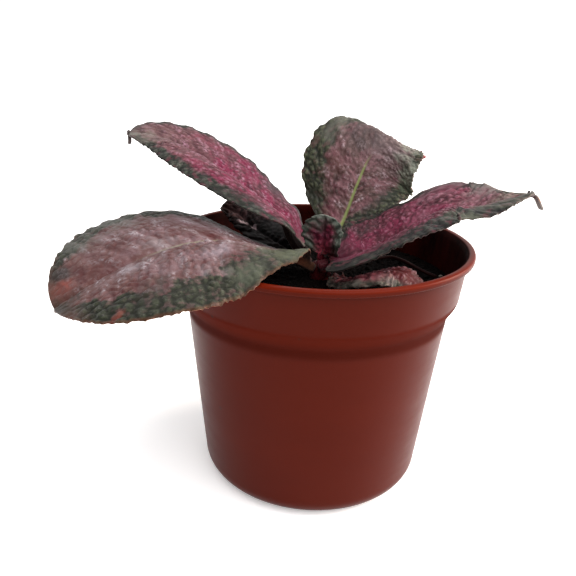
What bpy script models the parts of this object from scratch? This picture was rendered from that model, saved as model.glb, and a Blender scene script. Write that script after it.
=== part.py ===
"""A young flame violet with seven quilted leaves, in its nine centimetre plastic pot.

Units are metres and +Z is up. The pot's axis is the Z axis, and its underside lies on z = 0.
The front of the plant faces -Y. Numbers in the tables below are in millimetres and degrees.
"""

import math
import random

import bmesh
import bpy
import numpy as np

MM = 0.001
GAP = 0.3

POT_HEIGHT = 74.3
POT_SIDES = 48
WALL = 1.0
LIP_RADIUS = 45.0
LIP_WIDTH = 2.1
LIP_DEPTH = 1.8
LIP_ROUND = 0.5
COLLAR_TOP_RADIUS = 43.2
COLLAR_FOOT_RADIUS = 41.9
COLLAR_FOOT = 60.5
BODY_TOP_RADIUS = 39.3
BODY_TOP = 56.0
FOOT_RADIUS = 34.3
FOOT_ROUND = 6.0
STANDING_RING_WIDTH = 1.8
FLOOR_RECESS = 1.5
CENTRE_PAD_RADIUS = 15.5
DRAIN_HOLES = 8
DRAIN_HOLE_RADIUS = 2.6
DRAIN_CIRCLE_RADIUS = 21.0
DRAIN_CUTTER_DEPTH = 8.0
SHOULDER_SHIFT = 0.4

SOIL_LEVEL = 62.5
SOIL_LUMP = 0.8
SOIL_SIDES = 36
SOIL_TOP_RINGS = (37.5, 32, 26, 20, 14.5, 10)
STEM_HOLE_FLOOR = 46.0

STEM_AT = (0.5, -1.0)
STEM_RADIUS = 3.2
STEM_FOOT = STEM_HOLE_FLOOR + GAP
STEM_TOP = 67.6
STEM_SIDES = 16

BLADE = 0.9
QUILT = 0.42
VEIN_SHARE = 0.7
CUSHION_PITCH = 0.5
MIDRIB_GROOVE = 0.3
GROOVE_HALF_WIDTH = 0.05
SCALLOP = 0.7
ROWS_PER_LOBE = 3
VEIN_SLANT = 0.6
STALK_RADIUS = 1.2
RIB_HALF_WIDTH = 1.2
RIB_DEPTH = 1.5
COLUMNS_WIDE = (0.08, 0.3, 0.58, 0.84, 1.0)
COLUMNS_SMALL = (0.1, 0.4, 0.75, 1.0)

# One row for each leaf. The midrib runs from the stem to the tip. "left" points to the left side
# of the blade, seen from above with the tip ahead. "turn" rolls the blade about its midrib.
# "half_width", "fullness", "taper", "lift" and "curl" each give the left half and then the right
# one. A low "fullness" puts the blade's widest place nearer its base, and a high "taper" does too.
# "stalk" is the share of the length before the blade starts, "tail" the share of the blade's
# length that is a thin drip tip, "tip" the radius that the tip ends in, and "lobes" the number of
# scallops on each margin. "lift" and "curl" are each half's rise at the midrib and how far it
# bends down to the margin, listed from the stem to the tip. "ease", on the leaves whose midrib
# bends, is the share of the length that the rows' direction is averaged over, so that the rows
# spread evenly round the bend.
LEAVES = {
    "leaf_front_left": dict(
        midrib=[(-1.8, -3.3, 66.7), (-7.5, -7.4, 71), (-15, -13.2, 74.2), (-24.6, -20.1, 78.2),
                (-35.3, -26.4, 78.4), (-45, -34.5, 76.2), (-53.8, -40.1, 72.1), (-62.4, -45.5, 66.6)],
        left=(0.54, -0.84, 0),
        ease=0.35,
        turn=[17, 5, -2, -1, 3],
        half_width=(30.8, 30), fullness=(0.97, 0.97), taper=(0.53, 0.53), stalk=0.02, tip=1.2, lobes=14,
        lift=[(28, 8, 6, 6, 10), (8, 6, 11, 14, 16)],
        curl=[(10, 26, 32, 20, 32), (26, 0, 19, 20, 8)],
    ),
    "leaf_back_left": dict(
        midrib=[(-2.5, 0, 66.9), (-7.8, 1.8, 74), (-11, 2.6, 79.5), (-21.9, 4.5, 87.1),
                (-34.3, 8, 94.6), (-46.5, 9.1, 100), (-57.2, 7.5, 101.9), (-58.6, 7, 98.6)],
        left=(0, -1, 0),
        turn=[-5, -2],
        half_width=(18.2, 17.6), fullness=(0.34, 0.41), taper=(0.45, 0.5), tail=0.045, stalk=0.06,
        tip=0.7, lobes=12,
        lift=[(27, 20, 14, 6, 0), (18, 5, 12, 16, 11)],
        curl=[(10, 30, 39, 35, 36), (5, 12, 8, 12, 4)],
    ),
    "leaf_back": dict(
        midrib=[(1.3, 2.4, 66.3), (4, 8, 71), (7.5, 14.2, 77.5), (10.9, 19.5, 86.8),
                (15, 25.1, 95.4), (20.6, 28.3, 100.2), (27.2, 30.8, 98.2), (33.4, 32.9, 94.8)],
        left=(-1, 0, 0),
        ease=0.4,
        turn=[0, 0],
        half_width=(20.8, 18.2), fullness=(0.84, 1.2), taper=(0.7, 0.74), tail=0.04, stalk=0.14,
        tip=0.8, lobes=12,
        lift=[(5, 2, 12, 8), (10, 5, -4, -45)],
        curl=[(16, 21, 36, 80), (10, 20, 20, 21)],
    ),
    "leaf_right": dict(
        midrib=[(-0.2, -5.8, 68), (4, -4.9, 69.1), (10.2, -6, 71.4), (19.1, -4.4, 75.2),
                (28, -2.1, 81), (36.1, -0.8, 85.3), (44.4, -1.8, 86.4), (53, -1.4, 88.9),
                (60.3, 1.2, 89.8), (64.3, 4, 85.5)],
        left=(0, 1, 0),
        turn=[-2, -8],
        half_width=(18.2, 22.3), fullness=(0.49, 0.37), taper=(0.7, 0.68), tail=0.11, stalk=0.05,
        tip=0.6, lobes=12,
        lift=[(38, 34, 27, 22, -5), (10, 18, 13, 11, 21)],
        curl=[(9, 24, 29, -13, 24), (26, 19, 31, 44, 28)],
    ),
    "leaf_low_left": dict(
        midrib=[(-1.5, 2.1, 65.2), (-6, 6.6, 66.6), (-13, 11, 68.8), (-21, 17.3, 71.3),
                (-27.5, 22, 75), (-33, 22.5, 77.2)],
        left=(-0.7, -0.7, 0),
        turn=[0, 2, 10, 0],
        half_width=(6.5, 9), fullness=(0.5, 0.5), taper=(0.5, 0.5), stalk=0.2, tip=0.9, lobes=8,
        lift=[(5, 8, 10, 4), (20, 32, 30, 20)],
        curl=[(30, 34, 33, 28), (16, 20, 24, 20)],
    ),
    "leaf_low_right": dict(
        midrib=[(3.4, -3.2, 65.2), (8, -10.5, 65.6), (14.5, -17.4, 70), (22, -20.6, 72.3),
                (27.8, -23, 68.8)],
        left=(0.6, 0.8, 0),
        turn=[0, 0, 0, 0],
        half_width=(8.4, 9.5), fullness=(0.42, 0.42), taper=(0.4, 0.4), stalk=0.14, tip=0.9, lobes=8,
        lift=[(-20, -2, 7, -8), (6, 10, 4, 0)],
        curl=[(34, 36, 35, 48), (24, 30, 36, 40)],
    ),
    "leaf_young": dict(
        midrib=[(0.9, -2, 68), (0.9, -3, 70.6), (0.9, -4.2, 75), (0.9, -4.2, 82.2)],
        left=(-1, 0, 0),
        turn=[-2, -20, -9],
        half_width=(6.1, 7.4), fullness=(0.66, 0.42), taper=(0.5, 0.5), stalk=0.18, tip=0.9, lobes=6,
        lift=[(20, 14, 2), (20, 36, 14)],
        curl=[(-10, -5, 0), (-10, -5, 0)],
    ),
}
WIDE_LEAVES = {"leaf_front_left", "leaf_back_left", "leaf_back", "leaf_right"}

RUNNER_ROUTE = [(4, -0.1, 64.3), (9.5, 1.4, 65.4), (15.5, 3.8, 66.9), (21.3, 5.6, 67.6), (25.2, 4.6, 67.1),
                (28.6, 3, 66), (32.4, 1.9, 64.5), (35.6, 1, 63.5)]
RUNNER_RADIUS = 0.6

COLOURS = {
    "pot": ((0.36, 0.065, 0.03), 0.42),
    "soil": ((0.012, 0.009, 0.008), 0.95),
    "stem": ((0.16, 0.02, 0.025), 0.6),
    "leaf": ((0.24, 0.05, 0.09), 0.7),
}


def clear_scene():
    for obj in list(bpy.data.objects):
        bpy.data.objects.remove(obj, do_unlink=True)


def plain_material(name):
    colour, roughness = COLOURS[name]
    material = bpy.data.materials.get(name)
    if material is None:
        material = bpy.data.materials.new(name)
        material.use_nodes = True
        shader = material.node_tree.nodes["Principled BSDF"]
        shader.inputs["Base Color"].default_value = (*colour, 1.0)
        shader.inputs["Roughness"].default_value = roughness
        shader.inputs["Metallic"].default_value = 0.0
    return material


def solid(name, points, faces, material):
    """A named mesh object from points in millimetres."""
    mesh = bpy.data.meshes.new(name)
    mesh.from_pydata([tuple(MM * value for value in point) for point in points], [], faces)
    mesh.update()
    obj = bpy.data.objects.new(name, mesh)
    bpy.context.scene.collection.objects.link(obj)
    mesh.materials.append(plain_material(material))
    mesh.shade_smooth()
    mesh.set_sharp_from_angle(angle=math.radians(40))
    return obj


def turned(name, profile, sides, material):
    """Turns a profile of (radius, height), which starts and ends on the axis, about Z."""
    mesh = bpy.data.meshes.new(name)
    obj = bpy.data.objects.new(name, mesh)
    bpy.context.scene.collection.objects.link(obj)
    form = bmesh.new()
    line = [form.verts.new((MM * radius, 0, MM * height)) for radius, height in profile]
    edges = [form.edges.new(pair) for pair in zip(line, line[1:])]
    bmesh.ops.spin(form, geom=line + edges, cent=(0, 0, 0), axis=(0, 0, 1),
                   angle=2 * math.pi, steps=sides, use_duplicate=False)
    bmesh.ops.remove_doubles(form, verts=form.verts, dist=0.00001)
    bmesh.ops.recalc_face_normals(form, faces=form.faces)
    form.to_mesh(mesh)
    form.free()
    mesh.materials.append(plain_material(material))
    mesh.shade_smooth()
    mesh.set_sharp_from_angle(angle=math.radians(35))
    return obj


def arc(centre, radius, start, end, steps):
    """Points on an arc of (radius, height), with the angles in degrees from the horizontal."""
    return [
        (centre[0] + radius * math.cos(math.radians(start + (end - start) * i / steps)),
         centre[1] + radius * math.sin(math.radians(start + (end - start) * i / steps)))
        for i in range(steps + 1)
    ]


def floor_line(inset, rise):
    """The stepped floor from the axis to the foot's arc, moved in and up from the underside."""
    ring = FOOT_RADIUS - FOOT_ROUND
    return [
        (0, rise),
        (CENTRE_PAD_RADIUS - inset, rise),
        (CENTRE_PAD_RADIUS + FLOOR_RECESS - inset, FLOOR_RECESS + rise),
        (ring - STANDING_RING_WIDTH - FLOOR_RECESS + inset, FLOOR_RECESS + rise),
        (ring - STANDING_RING_WIDTH + inset, rise),
    ]


def wall_line(inset, arc_steps):
    """The side from the foot's arc to the collar's foot, moved in, with its shoulder kept as thick."""
    slope = inset * SHOULDER_SHIFT
    return arc((FOOT_RADIUS - FOOT_ROUND, FOOT_ROUND), FOOT_ROUND - inset, -90, 0, arc_steps) + [
        (BODY_TOP_RADIUS - inset, BODY_TOP + slope),
        (COLLAR_FOOT_RADIUS - inset, COLLAR_FOOT + slope),
    ]


def pot_profile():
    """The pot's section, up the outside, over the rolled lip and down the inside."""
    under_lip = POT_HEIGHT - LIP_DEPTH
    lip = [
        (COLLAR_TOP_RADIUS, under_lip),
        (LIP_RADIUS - LIP_ROUND, under_lip),
        (LIP_RADIUS, under_lip + LIP_ROUND),
        (LIP_RADIUS, POT_HEIGHT - LIP_ROUND),
        (LIP_RADIUS - LIP_ROUND, POT_HEIGHT),
        (LIP_RADIUS - LIP_WIDTH + LIP_ROUND, POT_HEIGHT),
        (LIP_RADIUS - LIP_WIDTH, POT_HEIGHT - LIP_ROUND),
        (COLLAR_TOP_RADIUS - WALL, under_lip),
    ]
    outside = floor_line(0, 0) + wall_line(0, 3)
    inside = floor_line(WALL * SHOULDER_SHIFT, WALL) + wall_line(WALL, 3)
    return outside + lip + inside[::-1]


def make_pot():
    pot = turned("pot", pot_profile(), POT_SIDES, "pot")
    for index in range(DRAIN_HOLES):
        angle = 2 * math.pi * (index + 0.5) / DRAIN_HOLES
        form = bmesh.new()
        bmesh.ops.create_cone(form, cap_ends=True, segments=12, radius1=MM * DRAIN_HOLE_RADIUS,
                              radius2=MM * DRAIN_HOLE_RADIUS, depth=MM * DRAIN_CUTTER_DEPTH)
        mesh = bpy.data.meshes.new(f"drain_cutter_{index}")
        form.to_mesh(mesh)
        form.free()
        cutter = bpy.data.objects.new(mesh.name, mesh)
        bpy.context.scene.collection.objects.link(cutter)
        cutter.location = (MM * DRAIN_CIRCLE_RADIUS * math.cos(angle),
                           MM * DRAIN_CIRCLE_RADIUS * math.sin(angle), MM * FLOOR_RECESS)
        cutter.hide_render = True
        cutter.display_type = "WIRE"
        hole = pot.modifiers.new(f"drain_hole_{index}", "BOOLEAN")
        hole.object = cutter
        hole.operation = "DIFFERENCE"
    return pot


def soil_lumps(rng):
    """A smooth, seeded height over the soil's surface, made of a few crossing waves."""
    waves = [(rng.uniform(0.12, 0.45), rng.uniform(0, 2 * math.pi), rng.uniform(0, 2 * math.pi))
             for _ in range(6)]

    def height(x, y):
        total = 0.0
        for pitch, heading, phase in waves:
            total += math.sin(pitch * (x * math.cos(heading) + y * math.sin(heading)) + phase)
        return SOIL_LUMP * total / len(waves)

    return height


def soil_rings():
    """Rings up the side, in over the top and down the stem's hole.

    Each ring is (radius, height, lumpiness, share of the way from the pot's axis to the stem's).
    """
    outer = floor_line(WALL * SHOULDER_SHIFT, WALL + GAP)[1:] + wall_line(WALL + GAP, 3)
    collar_slope = (COLLAR_TOP_RADIUS - COLLAR_FOOT_RADIUS) / (POT_HEIGHT - LIP_DEPTH - COLLAR_FOOT)
    edge = COLLAR_FOOT_RADIUS - WALL - GAP + collar_slope * (SOIL_LEVEL - COLLAR_FOOT)
    rings = [(radius, height, 0.0, 0.0) for radius, height in outer]
    rings.append((edge, SOIL_LEVEL, 0.0, 0.0))
    rings += [(radius, SOIL_LEVEL, 1.0, 0.0) for radius in SOIL_TOP_RINGS]
    rings.append((2 * STEM_RADIUS, SOIL_LEVEL, 0.6, 0.7))
    rings.append((STEM_RADIUS + GAP, SOIL_LEVEL, 0.0, 1.0))
    rings.append((STEM_RADIUS + GAP, STEM_HOLE_FLOOR, 0.0, 1.0))
    return rings


def make_soil():
    """Potting soil, shaped to the inside of the pot, with a lumpy top and a hole for the stem."""
    lumps = soil_lumps(random.Random(11))
    points = [(0, 0, WALL + GAP)]
    rings = soil_rings()
    for radius, height, lumpiness, shift in rings:
        for k in range(SOIL_SIDES):
            angle = 2 * math.pi * k / SOIL_SIDES
            x = shift * STEM_AT[0] + radius * math.cos(angle)
            y = shift * STEM_AT[1] + radius * math.sin(angle)
            points.append((x, y, height + lumpiness * lumps(x, y)))
    points.append((*STEM_AT, STEM_HOLE_FLOOR))
    faces = []
    last = 1 + (len(rings) - 1) * SOIL_SIDES
    for k in range(SOIL_SIDES):
        after = (k + 1) % SOIL_SIDES
        faces.append((0, 1 + after, 1 + k))
        for ring in range(1, last, SOIL_SIDES):
            above = ring + SOIL_SIDES
            faces.append((ring + k, ring + after, above + after, above + k))
        faces.append((last + k, last + after, len(points) - 1))
    return solid("soil", points, faces, "soil")


def make_stem():
    """The short upright stem that carries the leaves, rooted in the soil's plain hole."""
    profile = [
        (0, STEM_FOOT),
        (STEM_RADIUS * 0.7, STEM_FOOT),
        (STEM_RADIUS * 0.95, SOIL_LEVEL - 4),
        (STEM_RADIUS, SOIL_LEVEL + 1),
        (STEM_RADIUS * 0.95, STEM_TOP - 1.6),
        (STEM_RADIUS * 0.6, STEM_TOP - 0.4),
        (0, STEM_TOP),
    ]
    stem = turned("stem", profile, STEM_SIDES, "stem")
    stem.location = (MM * STEM_AT[0], MM * STEM_AT[1], 0)
    return stem


def smooth_line(points, count):
    """Evenly spaced points on a smooth curve through the given ones."""
    given = np.array(points, float)
    given = np.vstack([2 * given[0] - given[1], given, 2 * given[-1] - given[-2]])
    fine = []
    for a, b, c, d in zip(given, given[1:], given[2:], given[3:]):
        t = np.linspace(0, 1, 24, endpoint=False)[:, None]
        fine.append(0.5 * (2 * b + (c - a) * t + (2 * a - 5 * b + 4 * c - d) * t**2
                           + (3 * b - a - 3 * c + d) * t**3))
    fine = np.vstack(fine + [given[-2][None]])
    travelled = np.r_[0, np.cumsum(np.linalg.norm(np.diff(fine, axis=0), axis=1))]
    even = np.linspace(0, travelled[-1], count)
    return np.stack([np.interp(even, travelled, fine[:, k]) for k in range(3)], axis=-1)


def unit(vectors):
    return vectors / np.maximum(np.linalg.norm(vectors, axis=-1, keepdims=True), 1e-12)


def along(values, s):
    return np.interp(s, np.linspace(0, 1, len(values)), values)


def midrib_frame(leaf, count=160):
    """The midrib's points with its forward, left and upward directions."""
    line = smooth_line(leaf["midrib"], count)
    reach = max(1, round(count * leaf.get("ease", 0) / 2))
    place = np.arange(count)
    forward = unit(line[np.minimum(place + reach, count - 1)] - line[np.maximum(place - reach, 0)])
    hint = np.array(leaf["left"], float)
    left = unit(hint - (forward @ hint)[:, None] * forward)
    up = np.cross(forward, left)
    turn = np.radians(along(leaf["turn"], np.linspace(0, 1, count)))[:, None]
    return line, forward, left * np.cos(turn) + up * np.sin(turn), up * np.cos(turn) - left * np.sin(turn)


def half_widths(leaf, s, u):
    """The distance from midrib to margin: a slim stalk, then an oval blade with a drawn-out tip."""
    v = np.clip((s - leaf["stalk"]) / (1 - leaf["stalk"]), 0, 1)
    full, taper = np.where(u >= 0, *leaf["fullness"]), np.where(u >= 0, *leaf["taper"])
    widest = (full / (full + taper)) ** full * (taper / (full + taper)) ** taper
    inside = np.minimum(v / (1 - leaf.get("tail", 0)), 1)
    oval = inside**full * (1 - inside) ** taper / widest
    slim = STALK_RADIUS + (leaf["tip"] - STALK_RADIUS) * v * v * (3 - 2 * v)
    return np.hypot(slim, np.where(u >= 0, *leaf["half_width"]) * oval), oval


def blade_surface(leaf, columns):
    """The blade's smooth upper face as rows from stem to tip, with normals.

    The rows slant forward to the margins, as the side veins do, so that each vein and each notch
    of the scalloped margin lies on a row.
    """
    rows = ROWS_PER_LOBE * leaf["lobes"] + 1
    t = np.linspace(0, 1, rows)[:, None]
    u = np.array(columns)[None, :]
    s = t + VEIN_SLANT * np.abs(u) * t * (1 - t)
    line, forward, left, up = midrib_frame(leaf)
    even = np.linspace(0, 1, len(line))

    def at(values):
        return np.stack([np.interp(s, even, values[:, k]) for k in range(3)], axis=-1)

    width, blade = half_widths(leaf, s, u)
    lobe = -np.cos(2 * math.pi * leaf["lobes"] * t) / 2
    on_blade = np.clip(2 * blade - 0.3, 0, 1)
    width = width + SCALLOP * lobe * np.abs(u) ** 3 * on_blade
    across = np.zeros_like(s)
    rise = np.zeros_like(s)
    for side, mask in ((0, u >= 0), (1, u < 0)):
        lift = np.radians(along(leaf["lift"][side], s))
        curl = np.radians(along(leaf["curl"][side], s)) * blade
        curl = np.where(np.abs(curl) < 1e-4, 1e-4, curl)
        out = width * (np.sin(lift) - np.sin(lift - curl * np.abs(u))) / curl
        high = width * (np.cos(lift - curl * np.abs(u)) - np.cos(lift)) / curl
        across += np.where(mask, np.sign(u) * out, 0)
        rise += np.where(mask, high, 0)
    surface = at(line) + across[..., None] * unit(at(left)) + rise[..., None] * unit(at(up))
    normals = unit(np.cross(np.gradient(surface, axis=0), np.gradient(surface, axis=1)))
    return surface, normals, t, u, s, width, blade


def quilting(leaf, t, u, blade):
    """Height of the raised quilting: sunk side veins, with rows of cushions between them."""
    veins = -np.cos(2 * math.pi * leaf["lobes"] * t)
    cushions = np.cos(2 * math.pi * np.abs(u) / CUSHION_PITCH)
    groove = np.exp(-(u / GROOVE_HALF_WIDTH) ** 2)
    raised = VEIN_SHARE * veins * (1 - groove) + (1 - VEIN_SHARE) * cushions
    return blade * (QUILT * raised - MIDRIB_GROOVE * groove)


def make_leaf(name, leaf):
    halves = COLUMNS_WIDE if name in WIDE_LEAVES else COLUMNS_SMALL
    columns = [-u for u in reversed(halves)] + [0.0] + list(halves)
    surface, normals, t, u, s, width, blade = blade_surface(leaf, columns)
    top = surface + quilting(leaf, t, u, blade)[..., None] * normals
    rib = RIB_DEPTH * (1 - s) ** 1.2 * np.exp(-((u * width / RIB_HALF_WIDTH) ** 2))
    bottom = top - (BLADE + rib)[..., None] * normals
    rows, across = t.shape[0], len(columns)
    points = np.vstack([top.reshape(-1, 3), bottom.reshape(-1, 3)])
    under = rows * across
    faces = []
    for i in range(rows - 1):
        for j in range(across - 1):
            a = i * across + j
            b, c, d = a + 1, a + across + 1, a + across
            split = ((a, b, c), (a, c, d)) if columns[j] < 0 else ((a, b, d), (b, c, d))
            for one, two, three in split:
                faces.append((one, two, three))
                faces.append((under + one, under + three, under + two))
    edge = [i * across for i in range(rows)]
    edge += [(rows - 1) * across + j for j in range(1, across)]
    edge += [i * across + across - 1 for i in range(rows - 2, -1, -1)]
    edge += [j for j in range(across - 2, 0, -1)]
    for a, b in zip(edge, edge[1:] + edge[:1]):
        faces.append((a, b, under + b))
        faces.append((a, under + b, under + a))
    obj = solid(name, points.tolist(), faces, "leaf")
    form = bmesh.new()
    form.from_mesh(obj.data)
    bmesh.ops.recalc_face_normals(form, faces=form.faces)
    form.to_mesh(obj.data)
    form.free()
    return obj


def make_runner():
    """The thin runner that lies over the soil towards the right of the pot."""
    curve = bpy.data.curves.new("runner", "CURVE")
    curve.dimensions = "3D"
    curve.bevel_depth = MM * RUNNER_RADIUS
    curve.bevel_resolution = 2
    curve.use_fill_caps = True
    line = smooth_line(RUNNER_ROUTE, 16)
    spline = curve.splines.new("POLY")
    spline.points.add(len(line) - 1)
    for point, place in zip(spline.points, line):
        point.co = (*(MM * place), 1)
    runner = bpy.data.objects.new("runner", curve)
    bpy.context.scene.collection.objects.link(runner)
    curve.materials.append(plain_material("stem"))
    return runner


def main():
    clear_scene()
    make_pot()
    make_soil()
    make_stem()
    for name, leaf in LEAVES.items():
        make_leaf(name, leaf)
    make_runner()


main()
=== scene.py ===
"""The looks of a young flame violet with seven quilted leaves, in its plastic pot.

Sizes in the tables are in millimetres and angles in degrees, as in the part's source. Each piece
is worked out in millimetres, scaled to metres, and stands where its solid is. The front is -Y.
"""

import math
import random

import bmesh
import bpy
import numpy as np
from mathutils import Euler, Matrix


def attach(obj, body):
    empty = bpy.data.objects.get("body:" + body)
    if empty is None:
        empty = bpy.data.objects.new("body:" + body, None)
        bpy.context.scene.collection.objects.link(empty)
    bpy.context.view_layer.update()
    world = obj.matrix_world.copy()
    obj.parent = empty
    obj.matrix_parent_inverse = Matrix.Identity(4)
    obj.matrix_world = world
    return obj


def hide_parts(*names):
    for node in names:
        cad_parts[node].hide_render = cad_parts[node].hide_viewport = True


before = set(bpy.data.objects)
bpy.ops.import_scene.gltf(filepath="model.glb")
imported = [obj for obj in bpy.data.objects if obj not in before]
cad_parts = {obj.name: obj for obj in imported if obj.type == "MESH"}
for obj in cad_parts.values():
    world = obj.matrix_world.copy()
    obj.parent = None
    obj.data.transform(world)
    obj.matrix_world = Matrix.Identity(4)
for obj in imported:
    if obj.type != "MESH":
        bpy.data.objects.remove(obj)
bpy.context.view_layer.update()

MM = 0.001
GAP = 0.3

POT_HEIGHT = 74.3
POT_SIDES = 240
WALL = 1.0
LIP_RADIUS = 45.0
LIP_WIDTH = 2.1
LIP_DEPTH = 1.8
LIP_ROUND = 0.8
COLLAR_TOP_RADIUS = 43.2
COLLAR_FOOT_RADIUS = 41.9
COLLAR_FOOT = 60.5
BODY_TOP_RADIUS = 39.3
BODY_TOP = 56.0
FOOT_RADIUS = 34.3
FOOT_ROUND = 6.0
STANDING_RING_WIDTH = 1.8
FLOOR_RECESS = 1.5
CENTRE_PAD_RADIUS = 15.5
DRAIN_HOLES = 8
DRAIN_HOLE_RADIUS = 2.6
DRAIN_CIRCLE_RADIUS = 21.0
DRAIN_CUTTER_DEPTH = 8.0
DRAIN_CUTTER_SIDES = 40
SHOULDER_SHIFT = 0.4
SHOULDER_ROUND = 0.7
COLLAR_ROUND = 0.9
FLOOR_ROUND = 0.4
SHARP_ANGLE = 50
LINING_BELOW_SOIL = 4

SOIL_LEVEL = 62.5
SOIL_LUMP = 0.8
SOIL_WAVES = 6
SOIL_SEED = 11
SOIL_SIDES = 320
SOIL_RINGS = 96
PEAT_ROUGHNESS = 1.1
PEAT_LUMP = 2.7
PEAT_CRUMB = 1.2
STEM_HOLE_FLOOR = 46.0
STEM_HOLE_REACH = 20
LEVEL_AT_STEM = 2
LEVEL_AT_WALL = 1.5
CRUMBS = 420
CRUMB_SIZES = (0.35, 1.1)
PERLITE = 14
PERLITE_SIZES = (0.35, 0.7)
LOOSE_FROM = 8
LOOSE_TO = 39

STEM_AT = (0.5, -1.0)
STEM_RADIUS = 3.2
STEM_FOOT = STEM_HOLE_FLOOR + GAP
STEM_TOP = 67.6
STEM_SIDES = 64
STEM_DENT = 0.05

BLADE = 0.85
MARGIN_THICKNESS = 0.5
QUILT = 0.1
MIDRIB_GROOVE = 0.4
MIDRIB_HALF_WIDTH = 0.7
SIDE_VEIN_GROOVE = 0.05
SCALLOP = 0.7
CRENATION = 0.16
TEETH_PER_LOBE = 3
VEIN_SLANT = 0.6
STALK_RADIUS = 1.2
RIB_HALF_WIDTH = 1.2
RIB_DEPTH = 1.5
RIM_BULGE = 0.18
FACE_SIZE = 0.42
MIDRIB_STEPS = 240
CUSHION_SWAY = 1.2
SWAY_SPACING = 4.5
SWELL_SPACING = 6.0
RIM_SWELL_WIDTH = 5

# One row for each leaf, as in the part's source. The midrib runs from the stem to the tip, and
# "left" points to the blade's left side, seen from above with the tip ahead. "turn" rolls the
# blade about its midrib. "half_width", "fullness", "taper", "lift" and "curl" give the left half,
# then the right one. "fullness" and "taper" shape the oval. "stalk" is the share of the length
# before the blade starts, "tail" the share of the blade that is a thin drip tip, and "ease" the
# share that a bent midrib's direction is averaged over. "tip" is the radius at the tip, and
# "lobes" counts the scallops of a margin. "lift" is each half's rise at the midrib, and "curl" is
# how far it bends down to the margin.
LEAVES = {
    "leaf_front_left": dict(
        midrib=[(-1.8, -3.3, 66.7), (-7.5, -7.4, 71), (-15, -13.2, 74.2), (-24.6, -20.1, 78.2),
                (-35.3, -26.4, 78.4), (-45, -34.5, 76.2), (-53.8, -40.1, 72.1), (-62.4, -45.5, 66.6)],
        left=(0.54, -0.84, 0),
        ease=0.35,
        turn=[17, 5, -2, -1, 3],
        half_width=(30.8, 30), fullness=(0.97, 0.97), taper=(0.53, 0.53), stalk=0.02, tip=1.2, lobes=14,
        lift=[(28, 8, 6, 6, 10), (8, 6, 11, 14, 16)],
        curl=[(10, 26, 32, 20, 32), (26, 0, 19, 20, 8)],
    ),
    "leaf_back_left": dict(
        midrib=[(-2.5, 0, 66.9), (-7.8, 1.8, 74), (-11, 2.6, 79.5), (-21.9, 4.5, 87.1),
                (-34.3, 8, 94.6), (-46.5, 9.1, 100), (-57.2, 7.5, 101.9), (-58.6, 7, 98.6)],
        left=(0, -1, 0),
        turn=[-5, -2],
        half_width=(18.2, 17.6), fullness=(0.34, 0.41), taper=(0.45, 0.5), tail=0.045, stalk=0.06,
        tip=0.7, lobes=12,
        lift=[(27, 20, 14, 6, 0), (18, 5, 12, 16, 11)],
        curl=[(10, 30, 39, 35, 36), (5, 12, 8, 12, 4)],
    ),
    "leaf_back": dict(
        midrib=[(1.3, 2.4, 66.3), (4, 8, 71), (7.5, 14.2, 77.5), (10.9, 19.5, 86.8),
                (15, 25.1, 95.4), (20.6, 28.3, 100.2), (27.2, 30.8, 98.2), (33.4, 32.9, 94.8)],
        left=(-1, 0, 0),
        ease=0.4,
        turn=[0, 0],
        half_width=(20.8, 18.2), fullness=(0.84, 1.2), taper=(0.7, 0.74), tail=0.04, stalk=0.14,
        tip=0.8, lobes=12,
        lift=[(5, 2, 12, 8), (10, 5, -4, -45)],
        curl=[(16, 21, 36, 80), (10, 20, 20, 21)],
    ),
    "leaf_right": dict(
        midrib=[(-0.2, -5.8, 68), (4, -4.9, 69.1), (10.2, -6, 71.4), (19.1, -4.4, 75.2),
                (28, -2.1, 81), (36.1, -0.8, 85.3), (44.4, -1.8, 86.4), (53, -1.4, 88.9),
                (60.3, 1.2, 89.8), (64.3, 4, 85.5)],
        left=(0, 1, 0),
        turn=[-2, -8],
        half_width=(18.2, 22.3), fullness=(0.49, 0.37), taper=(0.7, 0.68), tail=0.11, stalk=0.05,
        tip=0.6, lobes=12,
        lift=[(38, 34, 27, 22, -5), (10, 18, 13, 11, 21)],
        curl=[(9, 24, 29, -13, 24), (26, 19, 31, 44, 28)],
    ),
    "leaf_low_left": dict(
        midrib=[(-1.5, 2.1, 65.2), (-6, 6.6, 66.6), (-13, 11, 68.8), (-21, 17.3, 71.3),
                (-27.5, 22, 75), (-33, 22.5, 77.2)],
        left=(-0.7, -0.7, 0),
        turn=[0, 2, 10, 0],
        half_width=(6.5, 9), fullness=(0.5, 0.5), taper=(0.5, 0.5), stalk=0.2, tip=0.9, lobes=8,
        lift=[(5, 8, 10, 4), (20, 32, 30, 20)],
        curl=[(30, 34, 33, 28), (16, 20, 24, 20)],
    ),
    "leaf_low_right": dict(
        midrib=[(3.4, -3.2, 65.2), (8, -10.5, 65.6), (14.5, -17.4, 70), (22, -20.6, 72.3),
                (27.8, -23, 68.8)],
        left=(0.6, 0.8, 0),
        turn=[0, 0, 0, 0],
        half_width=(8.4, 9.5), fullness=(0.42, 0.42), taper=(0.4, 0.4), stalk=0.14, tip=0.9, lobes=8,
        lift=[(-20, -2, 7, -8), (6, 10, 4, 0)],
        curl=[(34, 36, 35, 48), (24, 30, 36, 40)],
    ),
    "leaf_young": dict(
        midrib=[(0.9, -2, 68), (0.9, -3, 70.6), (0.9, -4.2, 75), (0.9, -4.2, 82.2)],
        left=(-1, 0, 0),
        turn=[-2, -20, -9],
        half_width=(6.1, 7.4), fullness=(0.66, 0.42), taper=(0.5, 0.5), stalk=0.18, tip=0.9, lobes=6,
        lift=[(20, 14, 2), (20, 36, 14)],
        curl=[(-10, -5, 0), (-10, -5, 0)],
    ),
}
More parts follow.
